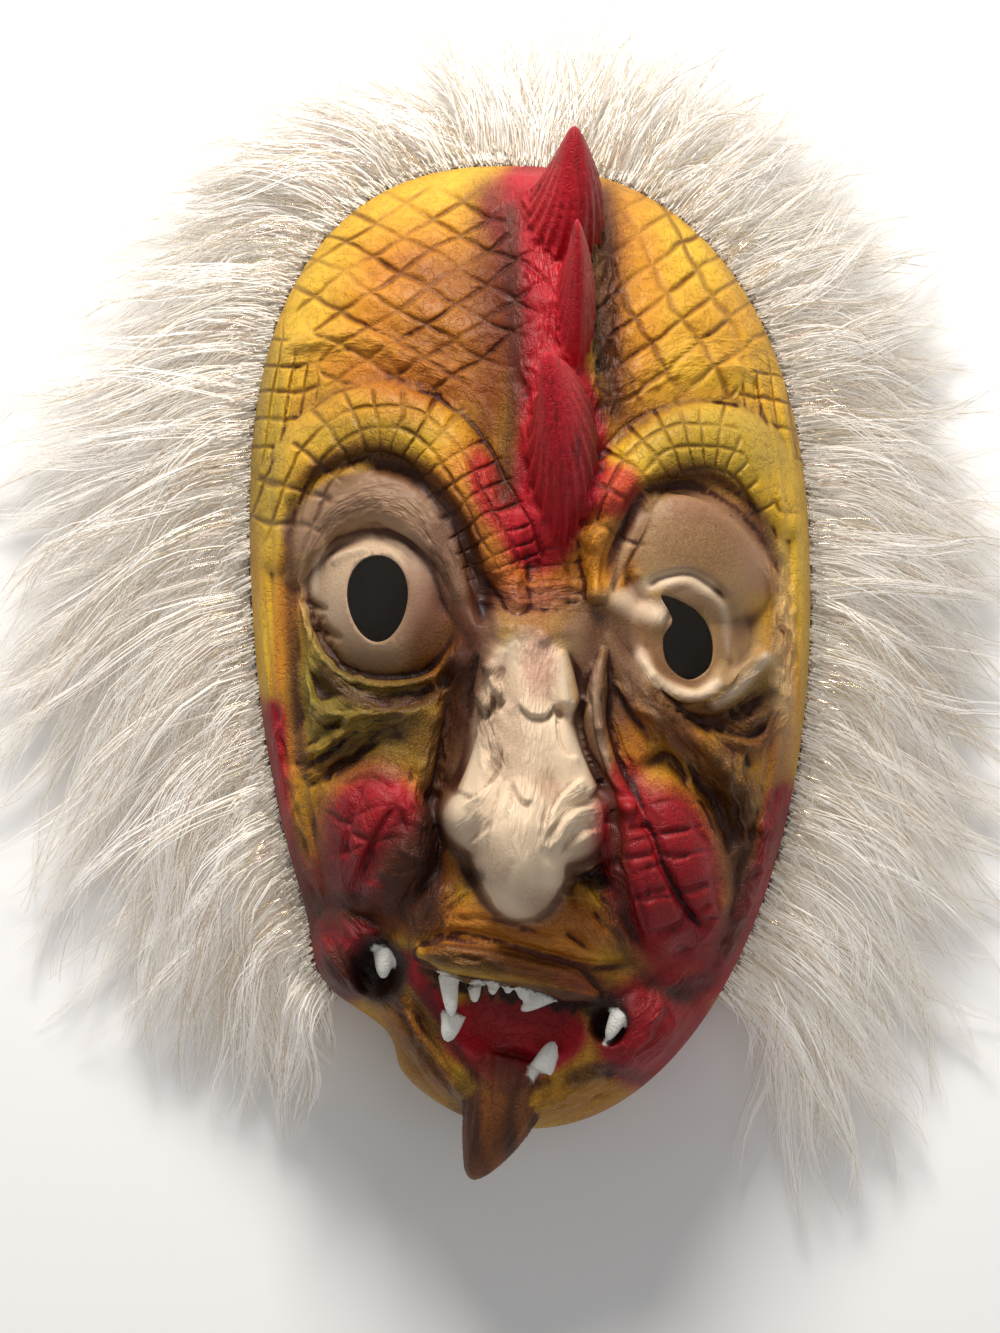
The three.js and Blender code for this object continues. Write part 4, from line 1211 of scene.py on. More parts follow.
        spot([-16, -66], [4, 3], 40, 0.7, 0.7),
        band([[-30, -102], [-14, -104], [4, -106], [22, -111]], 1.6, 2, 0.85),
        spot([-31, -112], [4, 12], 20, 0.7, 0.6), spot([56, -103], [9, 4], 20, 0.8, 0.6),
        spot([22, -132], [9, 3], 20, 0.8, 0.5), spot([-31, -58], [4, 18], 0, 0.8, 0.6),
        spot([71, -60], [3, 18], 5, 0.9, 0.4),
    ],
}
print("spots and bands:", {name: len(masks) for name, masks in COATS.items()})


# %% Masks on the points
def coat(name, x, y):
    uncovered = np.ones(x.size)
    for mask in COATS[name]:
        uncovered *= 1 - mask(x, y)
    return 1 - uncovered


def near_rod(points, start, end, radius, soft):
    """1 on the points within radius of a straight rod."""
    way = end - start
    along = np.clip(((points - start) @ way) / (way @ way), 0, 1)
    distance = np.linalg.norm(points - start - along[:, None] * way, axis=1)
    return smooth_step((radius - distance) / soft + 0.5)


def tooth_paint(points):
    paint = np.zeros(len(points))
    for (x, y), length, width, heading, lift in TEETH:
        way = np.array([math.cos(math.radians(heading)), math.sin(math.radians(heading)), 0]) * length / 2
        middle = np.array([x, y, skin_map(np.float64(x), np.float64(y)) + lift + 0.5])
        paint = np.maximum(paint, near_rod(points, middle - way, middle + way, width / 2 + 0.8, 0.6))
    stands_out = points[:, 2] - skin_map(points[:, 0], points[:, 1])
    return paint * smooth_step((stands_out - 0.6) / 0.5)


def whole_relief(x, y):
    return skin_map(x, y) + fine_map(x, y)


def hollowness(x, y, reach):
    """How much higher the skin is round each place than at it."""
    angles = np.arange(8) * math.pi / 4
    around = sum(whole_relief(x + reach * math.cos(a), y + reach * math.sin(a)) for a in angles)
    return around / len(angles) - whole_relief(x, y)


def note(mesh, name, kind, values):
    field = "color" if kind == "FLOAT_COLOR" else "vector"
    mesh.attributes.new(name, kind, "POINT").data.foreach_set(field, values.astype(np.float32).ravel())


# a colour attribute has three places; the mask of the horny parts is alone in the last one
COAT_GROUPS = {"coats_a": ("ochre", "brown", "olive"), "coats_b": ("taupe", "bone", "red"),
               "coats_c": ("deep", "tooth", "umber"), "coats_d": ("horn", "horn", "horn")}
SIDE_WALL_SHARE = 0.985
HOLLOW_REACHES = (1.6, 5, 12)
points = points_of(latex.data) / MM
x, y, z = points.T
inside = (z < hollow_height(x, y) + 0.6) & (egg_share(x, y) < SIDE_WALL_SHARE)
ones = np.ones(len(points))
layers = {name: coat(name, x, y) for name in COATS} | {"tooth": tooth_paint(points)}
above_skin = smooth_step((z - whole_relief(x, y) - 1.5) / 2)
on_comb, on_spur = above_skin * (y > 30), above_skin * smooth_step((-128 - y) / 14)
for name in ("ochre", "olive", "taupe", "bone", "red", "brown", "deep"):
    layers[name] *= 1 - on_comb
layers["red"] = layers["red"] * (1 - 0.8 * on_spur) + on_comb
layers["brown"] += on_spur * (0.8 + 0.35 * lattice_noise(x / 4, y / 17, 71) - layers["brown"])
layers["ochre"] = np.maximum(layers["ochre"], on_spur)
# painted shade: umber on the side of the comb that faces away from the lamp
layers["umber"] += on_comb * (0.5 * smooth_step((x - 16) / 8) - layers["umber"])
# painted shade: umber along the outline of the face
layers["umber"] = np.maximum(layers["umber"], 0.2 * smooth_step((egg_share(x, y) - 0.95) / 0.05))
layers["umber"] *= 1 - spot([-3, -119], [25, 17])(x, y)
layers["horn"] = on_comb + on_spur
for name, parts in COAT_GROUPS.items():
    note(latex.data, name, "FLOAT_COLOR", np.stack([*(layers[part] for part in parts), ones], axis=-1))
note(latex.data, "net", "FLOAT_VECTOR", scale_net(x, y))
note(latex.data, "folds", "FLOAT_VECTOR", fold_field(x, y))
hollows = np.stack([hollowness(x, y, reach) for reach in HOLLOW_REACHES], axis=-1)
hollows *= smooth_step((SIDE_WALL_SHARE - egg_share(x, y)) / 0.03)[:, None]
note(latex.data, "hollow", "FLOAT_VECTOR", hollows)
print("share of the skin under red:", round(float(layers["red"].mean()), 2))
print("hollowness from", hollows.min(axis=0).round(1), "to", hollows.max(axis=0).round(1))

# %% [markdown]
# ## Shader groups
# Five effects are groups with named inputs, so that each material can place them with values of its
# own: a coat of paint with a sprayed edge, the drawn lines of a pressed net, fine folds that run with
# the form, the pores and crinkles of latex, and the shade of a strand. A group only gives colours,
# masks and heights. The Principled shader itself stays in each material.

# %% Node helpers
def wire(tree, kind, inputs=None, **settings):
    """New node with its settings, and its inputs linked to sockets or set to values."""
    node = tree.nodes.new(kind)
    for name, value in settings.items():
        setattr(node, name, value)
    for socket, value in (inputs or {}).items():
        if isinstance(value, bpy.types.NodeSocket):
            tree.links.new(value, node.inputs[socket])
        else:
            node.inputs[socket].default_value = value
    return node


def sums(tree, operation, *values, clamp=False):
    node = wire(tree, "ShaderNodeMath", dict(enumerate(values)), operation=operation, use_clamp=clamp)
    return node.outputs[0]


def maths(operation):
    """A short name for one kind of Math node."""
    def place(tree, *values):
        return sums(tree, operation, *values)
    return place


times, plus, minus, larger = (maths(kind) for kind in ("MULTIPLY", "ADD", "SUBTRACT", "MAXIMUM"))


def blend_colours(tree, share, below, above, blend_type="MIX"):
    node = wire(tree, "ShaderNodeMix", {0: share, 6: below, 7: above}, data_type="RGBA",
                blend_type=blend_type)
    return node.outputs[2]


def ramp(tree, value, low, high, to_low=0.0, to_high=1.0):
    return wire(tree, "ShaderNodeMapRange", {0: value, 1: low, 2: high, 3: to_low, 4: to_high},
                interpolation_type="SMOOTHSTEP").outputs[0]


def new_group(name, inputs, outputs):
    """Empty shader group with named sockets, and its own input and output nodes."""
    tree = bpy.data.node_groups.new(name, "ShaderNodeTree")
    for side, sockets in (("INPUT", inputs), ("OUTPUT", outputs)):
        for socket, kind in sockets.items():
            tree.interface.new_socket(socket, in_out=side, socket_type="NodeSocket" + kind)
    return tree, tree.nodes.new("NodeGroupInput").outputs, tree.nodes.new("NodeGroupOutput").inputs


def place_group(tree, group, inputs):
    return wire(tree, "ShaderNodeGroup", inputs, node_tree=group).outputs


def new_material(name):
    material = bpy.data.materials.new(name)
    material.use_nodes = True
    return material, material.node_tree, material.node_tree.nodes["Principled BSDF"].inputs


def attribute(tree, name):
    return wire(tree, "ShaderNodeAttribute", attribute_name=name).outputs


def noise(tree, where, scale, detail=2.0, roughness=0.5):
    return wire(tree, "ShaderNodeTexNoise", {"Vector": where, "Scale": scale, "Detail": detail,
                                             "Roughness": roughness}).outputs["Fac"]


print("node helpers ready")


# %% The five groups
def airbrush_group():
    sockets = {"Under": "Color", "Paint": "Color", "Mask": "Float", "Grain": "Float",
               "Roughness of edge": "Float", "Sheerness": "Float"}
    tree, given, result = new_group("Airbrush coat", sockets, {"Color": "Color"})
    sheer = blend_colours(tree, 1.0, given["Under"], given["Paint"], "MULTIPLY")
    paint = blend_colours(tree, given["Sheerness"], given["Paint"], sheer)
    edge = times(tree, given["Mask"], minus(tree, 1.0, given["Mask"]))
    spray = times(tree, minus(tree, given["Grain"], 0.5), given["Roughness of edge"])
    share = sums(tree, "ADD", given["Mask"], times(tree, edge, spray), clamp=True)
    tree.links.new(blend_colours(tree, share, given["Under"], paint), result["Color"])
    return tree


def net_group():
    sockets = {"Net": "Vector", "Width": "Float"}
    tree, given, result = new_group("Pressed net", sockets, {"Groove": "Float"})
    parts = wire(tree, "ShaderNodeSeparateXYZ", {0: given["Net"]}).outputs
    lines = []
    for axis in (0, 1):
        off = sums(tree, "ABSOLUTE", minus(tree, parts[axis], sums(tree, "ROUND", parts[axis])))
        lines.append(minus(tree, 1.0, ramp(tree, off, 0.0, given["Width"])))
    groove = times(tree, larger(tree, *lines), parts[2])
    tree.links.new(groove, result["Groove"])
    return tree


def fold_group():
    sockets = {"Folds": "Vector", "Spacing": "Float"}
    tree, given, result = new_group("Fine folds", sockets, {"Height": "Float"})
    parts = wire(tree, "ShaderNodeSeparateXYZ", {0: given["Folds"]}).outputs
    across = sums(tree, "DIVIDE", parts[0], given["Spacing"])
    along = sums(tree, "DIVIDE", parts[1], times(tree, given["Spacing"], 4.0))
    place = wire(tree, "ShaderNodeCombineXYZ", {0: across, 1: along}).outputs[0]
    crests = sums(tree, "ABSOLUTE", minus(tree, noise(tree, place, 1.0, 2.0, 0.5), 0.5))
    height = times(tree, ramp(tree, crests, 0.0, 0.16, 1.0, 0.0), parts[2])
    tree.links.new(height, result["Height"])
    return tree


def pore_group():
    tree, given, result = new_group("Latex pores", {"Where": "Vector", "Size": "Float"},
                                    {"Height": "Float", "Crinkle": "Float", "Unevenness": "Float"})
    scale = sums(tree, "DIVIDE", 1.0, given["Size"])
    cells = wire(tree, "ShaderNodeTexVoronoi", {"Vector": given["Where"], "Scale": scale})
    pits = ramp(tree, cells.outputs["Distance"], 0.0, 0.35)
    skin_noise = noise(tree, given["Where"], scale, 4.0, 0.6)
    height = plus(tree, times(tree, pits, 0.4), skin_noise)
    tree.links.new(height, result["Height"])
    valleys = noise(tree, given["Where"], times(tree, scale, 0.2), 3.0, 0.6)
    off_valley = sums(tree, "ABSOLUTE", minus(tree, valleys, 0.5))
    tree.links.new(ramp(tree, off_valley, 0.0, 0.045, 1.0, 0.0), result["Crinkle"])
    patches = noise(tree, given["Where"], times(tree, scale, 0.08), 3.0)
    tree.links.new(patches, result["Unevenness"])
    return tree


def strand_group():
    sockets = {"Root": "Color", "Tip": "Color", "Odd": "Color", "Share of odd": "Float"}
    tree, given, result = new_group("Strand shade", sockets, {"Color": "Color"})
    along, shade = (attribute(tree, name)["Fac"] for name in ("strand_along", "strand_shade"))
    # painted shade: the colour darkens from the tip towards the root
    body = blend_colours(tree, ramp(tree, along, 0.0, 0.35), given["Root"], given["Tip"])
    is_odd = sums(tree, "LESS_THAN", shade, given["Share of odd"])
    tree.links.new(blend_colours(tree, is_odd, body, given["Odd"]), result["Color"])
    return tree


AIRBRUSH, NET_LINES, FINE_FOLDS = airbrush_group(), net_group(), fold_group()
PORES, STRAND = pore_group(), strand_group()
print("groups:", [group.name for group in bpy.data.node_groups])

# %% [markdown]
# ## Latex, painted and bare
# Painted latex has a satin face: quite rough, with a soft highlight. The coats go on in the order of
# the painter: the solid colours, a sheer brown that runs into every hollow and line, partly as a real
# wash and partly as painted shade, sheer umber that is partly painted shade, and last the dark browns
# with their painted shade, the near black painted shadow and the white of the teeth. The net is drawn
# once more here, as fine dark lines that are painted shade in its grooves and as bump, with folds,
# crinkles and pores that are too small for the mesh. Fins and spur have grooves along them, as horn
# has, and dark streaks that are partly painted shade in these grooves. Inside, the latex is bare, a
# cream rubber.

# %% Latex materials
YELLOW, AMBER, OCHRE = srgb(222, 176, 44), srgb(202, 144, 36), srgb(194, 116, 32)
OLIVE, TAUPE, BONE = srgb(134, 118, 42), srgb(152, 120, 94), srgb(222, 198, 168)
# the brown is dark paint and also painted shade; the near black is painted shadow
RED, BROWN, SHADOW_BLACK = srgb(176, 16, 32), srgb(76, 40, 20), srgb(30, 11, 7)
# the wash colour is in part a real wash and in part painted shade in hollows and lines
TOOTH, WASH_AND_SHADE = srgb(240, 238, 230), srgb(104, 54, 32)
# both umbers are partly painted shade: the pale one in broad hollows, the other under forms and at the
# edges
PALE_UMBER, UMBER = srgb(150, 92, 56), srgb(132, 76, 44)
# scales of noise, to a metre; the grooves of horn run along the face, so they are stretched that way
SPRAY_GRAIN, CLOUD_SCALE, HORN_STRETCH = 1300, 26, (420, 50, 50)
DRAWN_LINE, DRAWN_FOLDS = 0.14, 2.4
PORE_SIZE, BARE_PORE_SIZE = 0.0011, 0.0016
SATIN = (0.48, 0.62)


def coat_masks(tree):
    """Sockets of all the masks, by the names of the coats."""
    masks = {}
    for name, parts in COAT_GROUPS.items():
        split = wire(tree, "ShaderNodeSeparateColor", {0: attribute(tree, name)["Color"]}).outputs
        masks.update(zip(parts, split))
    return masks


def wash_and_hollow_shade(tree, masks, grain, lines, horn_grain):
    """Share of brown in hollows, lines and horn streaks, less on bone: part wash, part painted shade."""
    hollow = wire(tree, "ShaderNodeSeparateXYZ", {0: attribute(tree, "hollow")["Vector"]}).outputs
    deepness = plus(tree, hollow[0], times(tree, hollow[1], 0.2))
    run_in_and_shade = ramp(tree, plus(tree, deepness, times(tree, grain, 0.2)), 0.2, 1.45)
    # painted shade in the grooves of the net, the folds and the crinkles
    drawn_and_groove_shade = larger(tree, times(tree, lines["net"], 0.72), times(tree, lines["folds"], 0.3))
    drawn_and_groove_shade = larger(tree, drawn_and_groove_shade, times(tree, lines["crinkle"], 0.2))
    wash_and_shade = larger(tree, run_in_and_shade, drawn_and_groove_shade)
    wash_and_shade = times(tree, wash_and_shade, minus(tree, 0.95, times(tree, masks["bone"], 0.5)))
    wash_and_shade = times(tree, wash_and_shade, minus(tree, 1.0, masks["horn"]))
    streaks = times(tree, ramp(tree, horn_grain, 0.54, 0.8, 0.0, 0.8), masks["horn"])
    return larger(tree, wash_and_shade, streaks), hollow[2]


def painted_latex():
    material, tree, shader = new_material("airbrushed latex")
    where = wire(tree, "ShaderNodeTexCoord").outputs["Object"]
    grain = noise(tree, where, SPRAY_GRAIN, 2.0, 0.7)
    cloud = noise(tree, where, CLOUD_SCALE, 3.0)
    masks = coat_masks(tree)

    def coated(colour, paint, mask, edge, sheerness=0.0):
        return place_group(tree, AIRBRUSH, {"Under": colour, "Paint": paint, "Mask": mask, "Grain": grain,
                                            "Roughness of edge": edge, "Sheerness": sheerness})["Color"]

    # the solid colours, bone with its painted highlights among them, on a cloudy yellow ground
    colour = blend_colours(tree, ramp(tree, cloud, 0.35, 0.75, 0.0, 0.6), YELLOW, AMBER)
    solid = {"ochre": OCHRE, "olive": OLIVE, "taupe": TAUPE, "bone": BONE, "red": RED}
    for name, paint in solid.items():
        colour = coated(colour, paint, masks[name], 4.0)

    # lines that are too fine for the mesh
    net = {"Net": attribute(tree, "net")["Vector"], "Width": DRAWN_LINE}
    folds = {"Folds": attribute(tree, "folds")["Vector"], "Spacing": DRAWN_FOLDS}
    pores = place_group(tree, PORES, {"Where": where, "Size": PORE_SIZE})
    smooth_skin = larger(tree, masks["bone"], masks["taupe"])
    lines = {"net": place_group(tree, NET_LINES, net)["Groove"],
             "folds": place_group(tree, FINE_FOLDS, folds)["Height"],
             "crinkle": times(tree, pores["Crinkle"], minus(tree, 1.0, smooth_skin))}
    stretched = wire(tree, "ShaderNodeVectorMath", {0: where, 1: HORN_STRETCH}, operation="MULTIPLY")
    horn_grain = noise(tree, stretched.outputs[0], 1.0, 3.0)

    # the sheer coats, which are partly painted shade, then the brown with its painted shade, the near black
    # painted shadow and the teeth
    wash_and_shade, wide_hollow = wash_and_hollow_shade(tree, masks, grain, lines, horn_grain)
    # sheer brown in hollows and lines: partly a real wash, partly painted shade
    colour = coated(colour, WASH_AND_SHADE, wash_and_shade, 0.0, 1.0)
    # pale umber in random clouds, and more of it in broad hollows as painted shade
    mottle_and_hollow_shade = ramp(tree, plus(tree, cloud, times(tree, wide_hollow, 0.05)), 0.45, 0.85, 0.0, 0.6)
    colour = coated(colour, PALE_UMBER, mottle_and_hollow_shade, 0.0, 1.0)
    # sheer umber, partly painted shade
    colour = coated(colour, UMBER, masks["umber"], 3.0, 1.0)
    for name, paint, sheerness in (("brown", BROWN, 0.2), ("deep", SHADOW_BLACK, 0.0), ("tooth", TOOTH, 0.0)):
        colour = coated(colour, paint, masks[name], 3.0, sheerness)
    tree.links.new(colour, shader["Base Color"])

    # satin, with the fine lines as bump
    tree.links.new(ramp(tree, pores["Unevenness"], 0.3, 0.7, *SATIN), shader["Roughness"])
    depth = plus(tree, lines["net"], times(tree, lines["folds"], 0.6))
    depth = plus(tree, depth, times(tree, horn_grain, times(tree, masks["horn"], 1.6)))
    depth = plus(tree, depth, times(tree, lines["crinkle"], 0.35))
    height = minus(tree, times(tree, pores["Height"], 0.3), depth)
    bump = wire(tree, "ShaderNodeBump", {"Height": height, "Strength": 0.7, "Distance": 0.6 * MM})
    tree.links.new(bump.outputs["Normal"], shader["Normal"])
    shader["Specular IOR Level"].default_value = 0.36
    return material


def bare_latex():
    material, tree, shader = new_material("bare latex")
    where = wire(tree, "ShaderNodeTexCoord").outputs["Object"]
    pores = place_group(tree, PORES, {"Where": where, "Size": BARE_PORE_SIZE})
    cream = blend_colours(tree, pores["Unevenness"], srgb(214, 186, 140), srgb(190, 150, 100))
    tree.links.new(cream, shader["Base Color"])
    bump = wire(tree, "ShaderNodeBump", {"Height": pores["Height"], "Strength": 0.4,
                                         "Distance": 0.4 * MM})
    tree.links.new(bump.outputs["Normal"], shader["Normal"])
    shader["Roughness"].default_value = 0.5
    return material


latex.data.materials.clear()
latex.data.materials.append(painted_latex())
latex.data.materials.append(bare_latex())
corners = np.empty(len(latex.data.loops), np.int32)
latex.data.loops.foreach_get("vertex_index", corners)
is_bare = inside[corners.reshape(-1, 3)].mean(axis=1) > 0.5
latex.data.polygons.foreach_set("material_index", is_bare.astype(np.int32))
print("bare faces:", int(is_bare.sum()), "of", len(is_bare))

# %% [markdown]
# ## Fur: where the locks run
# The fur is a strip of long-pile fabric, glued round the edge from the left jaw over the crown to the
# right jaw. Its hair is combed out from the face and hangs towards the chin. Each lock follows a
# guide line, worked out here: it leaves the strip square to the edge, turns into the way that the
# pile hangs at that place, wanders a little, rises in an arch and sinks to the floor. The table
# gives, for places from the left jaw to the right one, the heading in degrees and the length in
# millimetres. A guide that would pass LEFTMOST is drawn in, so that the fur stays in the room that
# the CAD locks give it.

# %% Guide lines
LEFTMOST = -198
PILE_PLACES = (0, 0.08, 0.16, 0.24, 0.32, 0.4, 0.46, 0.5, 0.56, 0.64, 0.72, 0.8, 0.88, 0.95, 1)
PILE_HEADINGS = (268, 252, 240, 222, 204, 184, 156, 104, 60, 28, -2, -22, -46, -62, -76)
PILE_LENGTHS = (62, 122, 150, 122, 90, 82, 70, 62, 72, 70, 76, 88, 104, 112, 100)
LEFT_JAW, RIGHT_JAW = 228, -48
LATEX_GAP = 0.6
GUIDE_POINTS = 14
STRIP_HIGH = 42


def edge_place(share, outset):
    """Places on the edge of the latex and the headings square to it, from the left to the right jaw."""
    def at(angle):
        return np.stack(egg_point(np.cos(angle), np.sin(angle), -outset), axis=-1)
    angle = np.radians(mix(LEFT_JAW, RIGHT_JAW, share))
    way = at(angle - 0.01) - at(angle + 0.01)
    return at(angle), np.degrees(np.unwrap(np.arctan2(way[:, 0], -way[:, 1])))


def lock_guides(rng, count, shares, heights, reach, arch, sway=12.0, wander=(6, 17), outset=1.6):
    """Guide lines of a layer of locks: an array of count x GUIDE_POINTS places."""
    share = np.sort(rng.uniform(*shares, count))
    places, square = edge_place(share, outset)
    square += np.round((mix(LEFT_JAW, RIGHT_JAW, share) - square) / 360) * 360
    target = np.interp(share, PILE_PLACES, PILE_HEADINGS) + rng.normal(0, sway, count)
    length = np.interp(share, PILE_PLACES, PILE_LENGTHS) * rng.uniform(*reach, count)
    root = rng.uniform(*heights, count)
    along = np.linspace(0, 1, GUIDE_POINTS)[None, :]
    turned = smooth_step(along * 1.6 + 0.1)
    most = rng.uniform(*wander, (count, 1))
    turns = along * rng.uniform(0.6, 1.5, (count, 1))
    turns = turns + rng.uniform(0, 1, (count, 1))
    wave = most * np.sin(2 * math.pi * turns)
    heading = np.radians(mix(square[:, None], target[:, None], turned) + wave * along)
    step = length[:, None] / (GUIDE_POINTS - 1)
    x = places[:, :1] + np.cumsum(np.cos(heading) * step, axis=1) - np.cos(heading[:, :1]) * step
    y = places[:, 1:] + np.cumsum(np.sin(heading) * step, axis=1) - np.sin(heading[:, :1]) * step
    room = (places[:, :1] - LEFTMOST) / np.maximum(places[:, :1] - x.min(axis=1, keepdims=True), 1)
    room = np.minimum(room, 1)
    x = places[:, :1] + (x - places[:, :1]) * room
    y = places[:, 1:] + (y - places[:, 1:]) * room
    tip = rng.uniform(1, 10, (count, 1))
    rise = arch * np.sin(math.pi * along ** 0.75) * (root[:, None] / STRIP_HIGH)
    z = mix(root[:, None], tip, along ** 1.15) + rise
    return np.stack([x, y, z], axis=-1)


def guide_object(name, guides):
    """Mesh of loose lines, one to a guide."""
    count, length = guides.shape[:2]
    mesh = bpy.data.meshes.new(name)
    starts = np.arange(count * length).reshape(count, length)
    lines = np.stack([starts[:, :-1].ravel(), starts[:, 1:].ravel()], axis=-1)
    mesh.from_pydata((guides.reshape(-1, 3) * MM).tolist(), lines.tolist(), [])
    piece = bpy.data.objects.new(name, mesh)
    scene.collection.objects.link(piece)
    return piece


print("guide lines of the pile: from", PILE_LENGTHS[0], "to", max(PILE_LENGTHS), "mm long")

# %% [markdown]
# ## Fur: strands from guides
# A Geometry Nodes tree makes the hair. It copies each guide line a few times, spreads the copies at
# the root and gathers them at the tip, as a lock of damp-looking pile does, crimps them with noise,
# cuts them at random lengths, keeps them above the floor, and sweeps a three-sided section that thins
# towards the tip. It stores how far along a strand each point is, and one random number for the
# strand, for the material to read.

# %% The hair tree
TREE_INPUTS = {
    "Strands to a guide": ("Int", 12), "Points to a strand": ("Int", 9),
    "Thickness": ("Float", 0.5 * MM),
    "Spread at the root": ("Float", 4 * MM), "Spread at the tip": ("Float", 1.5 * MM),
    "Crimp": ("Float", 3 * MM), "Size of a crimp": ("Float", 20 * MM), "Shortest": ("Float", 0.65),
    "Floor": ("Float", 0.3 * MM), "Seed": ("Int", 1), "Material": ("Material", None),
}


def hair_tree():
    tree = bpy.data.node_groups.new("strands from guides", "GeometryNodeTree")
    tree.interface.new_socket("Geometry", in_out="INPUT", socket_type="NodeSocketGeometry")
    for name, (kind, value) in TREE_INPUTS.items():
        socket = tree.interface.new_socket(name, in_out="INPUT", socket_type="NodeSocket" + kind)
        if value is not None:
            socket.default_value = value
    tree.interface.new_socket("Geometry", in_out="OUTPUT", socket_type="NodeSocketGeometry")
    given = tree.nodes.new("NodeGroupInput").outputs

    def step(kind, inputs=None, **settings):
        return wire(tree, kind, inputs, **settings)

    def vector(operation, a, b):
        return step("ShaderNodeVectorMath", {0: a, 1: b}, operation=operation).outputs[0]

    lines = step("GeometryNodeMeshToCurve", {"Mesh": given["Geometry"]}).outputs[0]
    lines = step("GeometryNodeResampleCurve", {"Curve": lines,
                                               "Count": given["Points to a strand"]}).outputs[0]
    copies = step("GeometryNodeDuplicateElements", {"Geometry": lines,
                                                    "Amount": given["Strands to a guide"]},
                  domain="SPLINE").outputs[0]
    own = step("FunctionNodeRandomValue", {0: (-1, -1, -1), 1: (1, 1, 1), "Seed": given["Seed"]},
               data_type="FLOAT_VECTOR").outputs[0]
    copies = step("GeometryNodeStoreNamedAttribute", {"Geometry": copies, "Name": "own", "Value": own},
                  data_type="FLOAT_VECTOR", domain="CURVE").outputs[0]
    own = step("GeometryNodeInputNamedAttribute", {"Name": "own"}, data_type="FLOAT_VECTOR").outputs[0]
    along = step("GeometryNodeSplineParameter").outputs["Factor"]
    place = step("GeometryNodeInputPosition").outputs[0]
    spread = step("ShaderNodeMapRange", {0: along, 3: given["Spread at the root"],
                                         4: given["Spread at the tip"]}).outputs[0]
    fan = step("ShaderNodeVectorMath", {0: own, 3: spread}, operation="SCALE").outputs[0]
    scale = sums(tree, "DIVIDE", 1.0, given["Size of a crimp"])
    far = step("ShaderNodeVectorMath", {0: own, 3: 0.3}, operation="SCALE").outputs[0]
    crimp_noise = step("ShaderNodeTexNoise", {"Vector": vector("ADD", place, far), "Scale": scale,
                                              "Detail": 1.0})
    centred = vector("SUBTRACT", crimp_noise.outputs["Color"], (0.5, 0.5, 0.5))
    strength = times(tree, times(tree, given["Crimp"], 2.0), along)
    crimped = step("ShaderNodeVectorMath", {0: centred, 3: strength}, operation="SCALE").outputs[0]
    moved = step("GeometryNodeSetPosition", {"Geometry": copies,
                                             "Offset": vector("ADD", fan, crimped)}).outputs[0]
    chance = step("FunctionNodeRandomValue", {2: given["Shortest"], 3: 1.0,
                                              "Seed": given["Seed"]}).outputs[1]
    cut = step("GeometryNodeTrimCurve", {"Curve": moved, 3: chance}, mode="FACTOR").outputs[0]
    parts = step("ShaderNodeSeparateXYZ", {0: place}).outputs
    least = plus(tree, given["Floor"], times(tree, given["Thickness"], 0.5))
    above = step("ShaderNodeCombineXYZ", {0: parts[0], 1: parts[1],
                                          2: larger(tree, parts[2], least)}).outputs[0]
    laid = step("GeometryNodeSetPosition", {"Geometry": cut, "Position": above}).outputs[0]
    shade = step("FunctionNodeRandomValue", {2: 0.0, 3: 1.0, "Seed": 7}).outputs[1]
    for name, value, domain in (("strand_along", along, "POINT"), ("strand_shade", shade, "CURVE")):
        laid = step("GeometryNodeStoreNamedAttribute", {"Geometry": laid, "Name": name, "Value": value},
                    domain=domain).outputs[0]
    thin = step("ShaderNodeMapRange", {0: sums(tree, "POWER", along, 2.0), 3: 0.5, 4: 0.12}).outputs[0]
    section = step("GeometryNodeCurvePrimitiveCircle", {"Resolution": 3, "Radius": 1.0}).outputs[0]
    radius = times(tree, given["Thickness"], thin)
    hair = step("GeometryNodeCurveToMesh", {"Curve": laid, "Profile Curve": section, "Fill Caps": True,
                                            "Scale": radius}).outputs[0]
    hair = step("GeometryNodeSetShadeSmooth", {"Geometry": hair, "Shade Smooth": True}).outputs[0]
    hair = step("GeometryNodeRealizeInstances", {"Geometry": hair}).outputs[0]
    hair = step("GeometryNodeSetMaterial", {"Geometry": hair, "Material": given["Material"]}).outputs[0]
    tree.links.new(hair, tree.nodes.new("NodeGroupOutput").inputs[0])
    return tree


HAIR = hair_tree()


def grow(name, guides, **values):
    """Mesh of strands along the guides."""
    piece = guide_object(name, guides)
    modifier = piece.modifiers.new("strands", "NODES")
    modifier.node_group = HAIR
    for item in HAIR.interface.items_tree:
        key = item.name.replace(" ", "_").lower()
        if item.in_out == "INPUT" and key in values:
            modifier[item.identifier] = values[key]
    apply_modifiers(piece)
    print(name, "has", triangle_count(piece.data), "triangles")
    return piece


print("inputs of the tree:", ", ".join(TREE_INPUTS))

# %% [markdown]
# ## Fur: materials
# The pile is off-white acrylic: a little warm, greyer at the root as painted shade, with odd darker
# strands.
# Light scatters in real pile from hair to hair, and a faint glow of its own colour stands in for
# that. Between it lie threads of tinsel, warm and glittering. The knitted backing shows as a narrow
# band from the side, so its loops are bump, with painted shade where they sink.

# %% Fur materials
def pile_material():
    material, tree, shader = new_material("white pile")
    # the greyer root colour is painted shade in the depth of the pile
    colour = place_group(tree, STRAND, {"Root": srgb(236, 228, 216), "Tip": srgb(250, 246, 240),
                                        "Odd": srgb(214, 200, 180), "Share of odd": 0.16})["Color"]
    tree.links.new(colour, shader["Base Color"])
    tree.links.new(colour, shader["Emission Color"])
    shader["Emission Strength"].default_value = 0.12
    shader["Roughness"].default_value = 0.5
    shader["Specular IOR Level"].default_value = 0.35
    return material


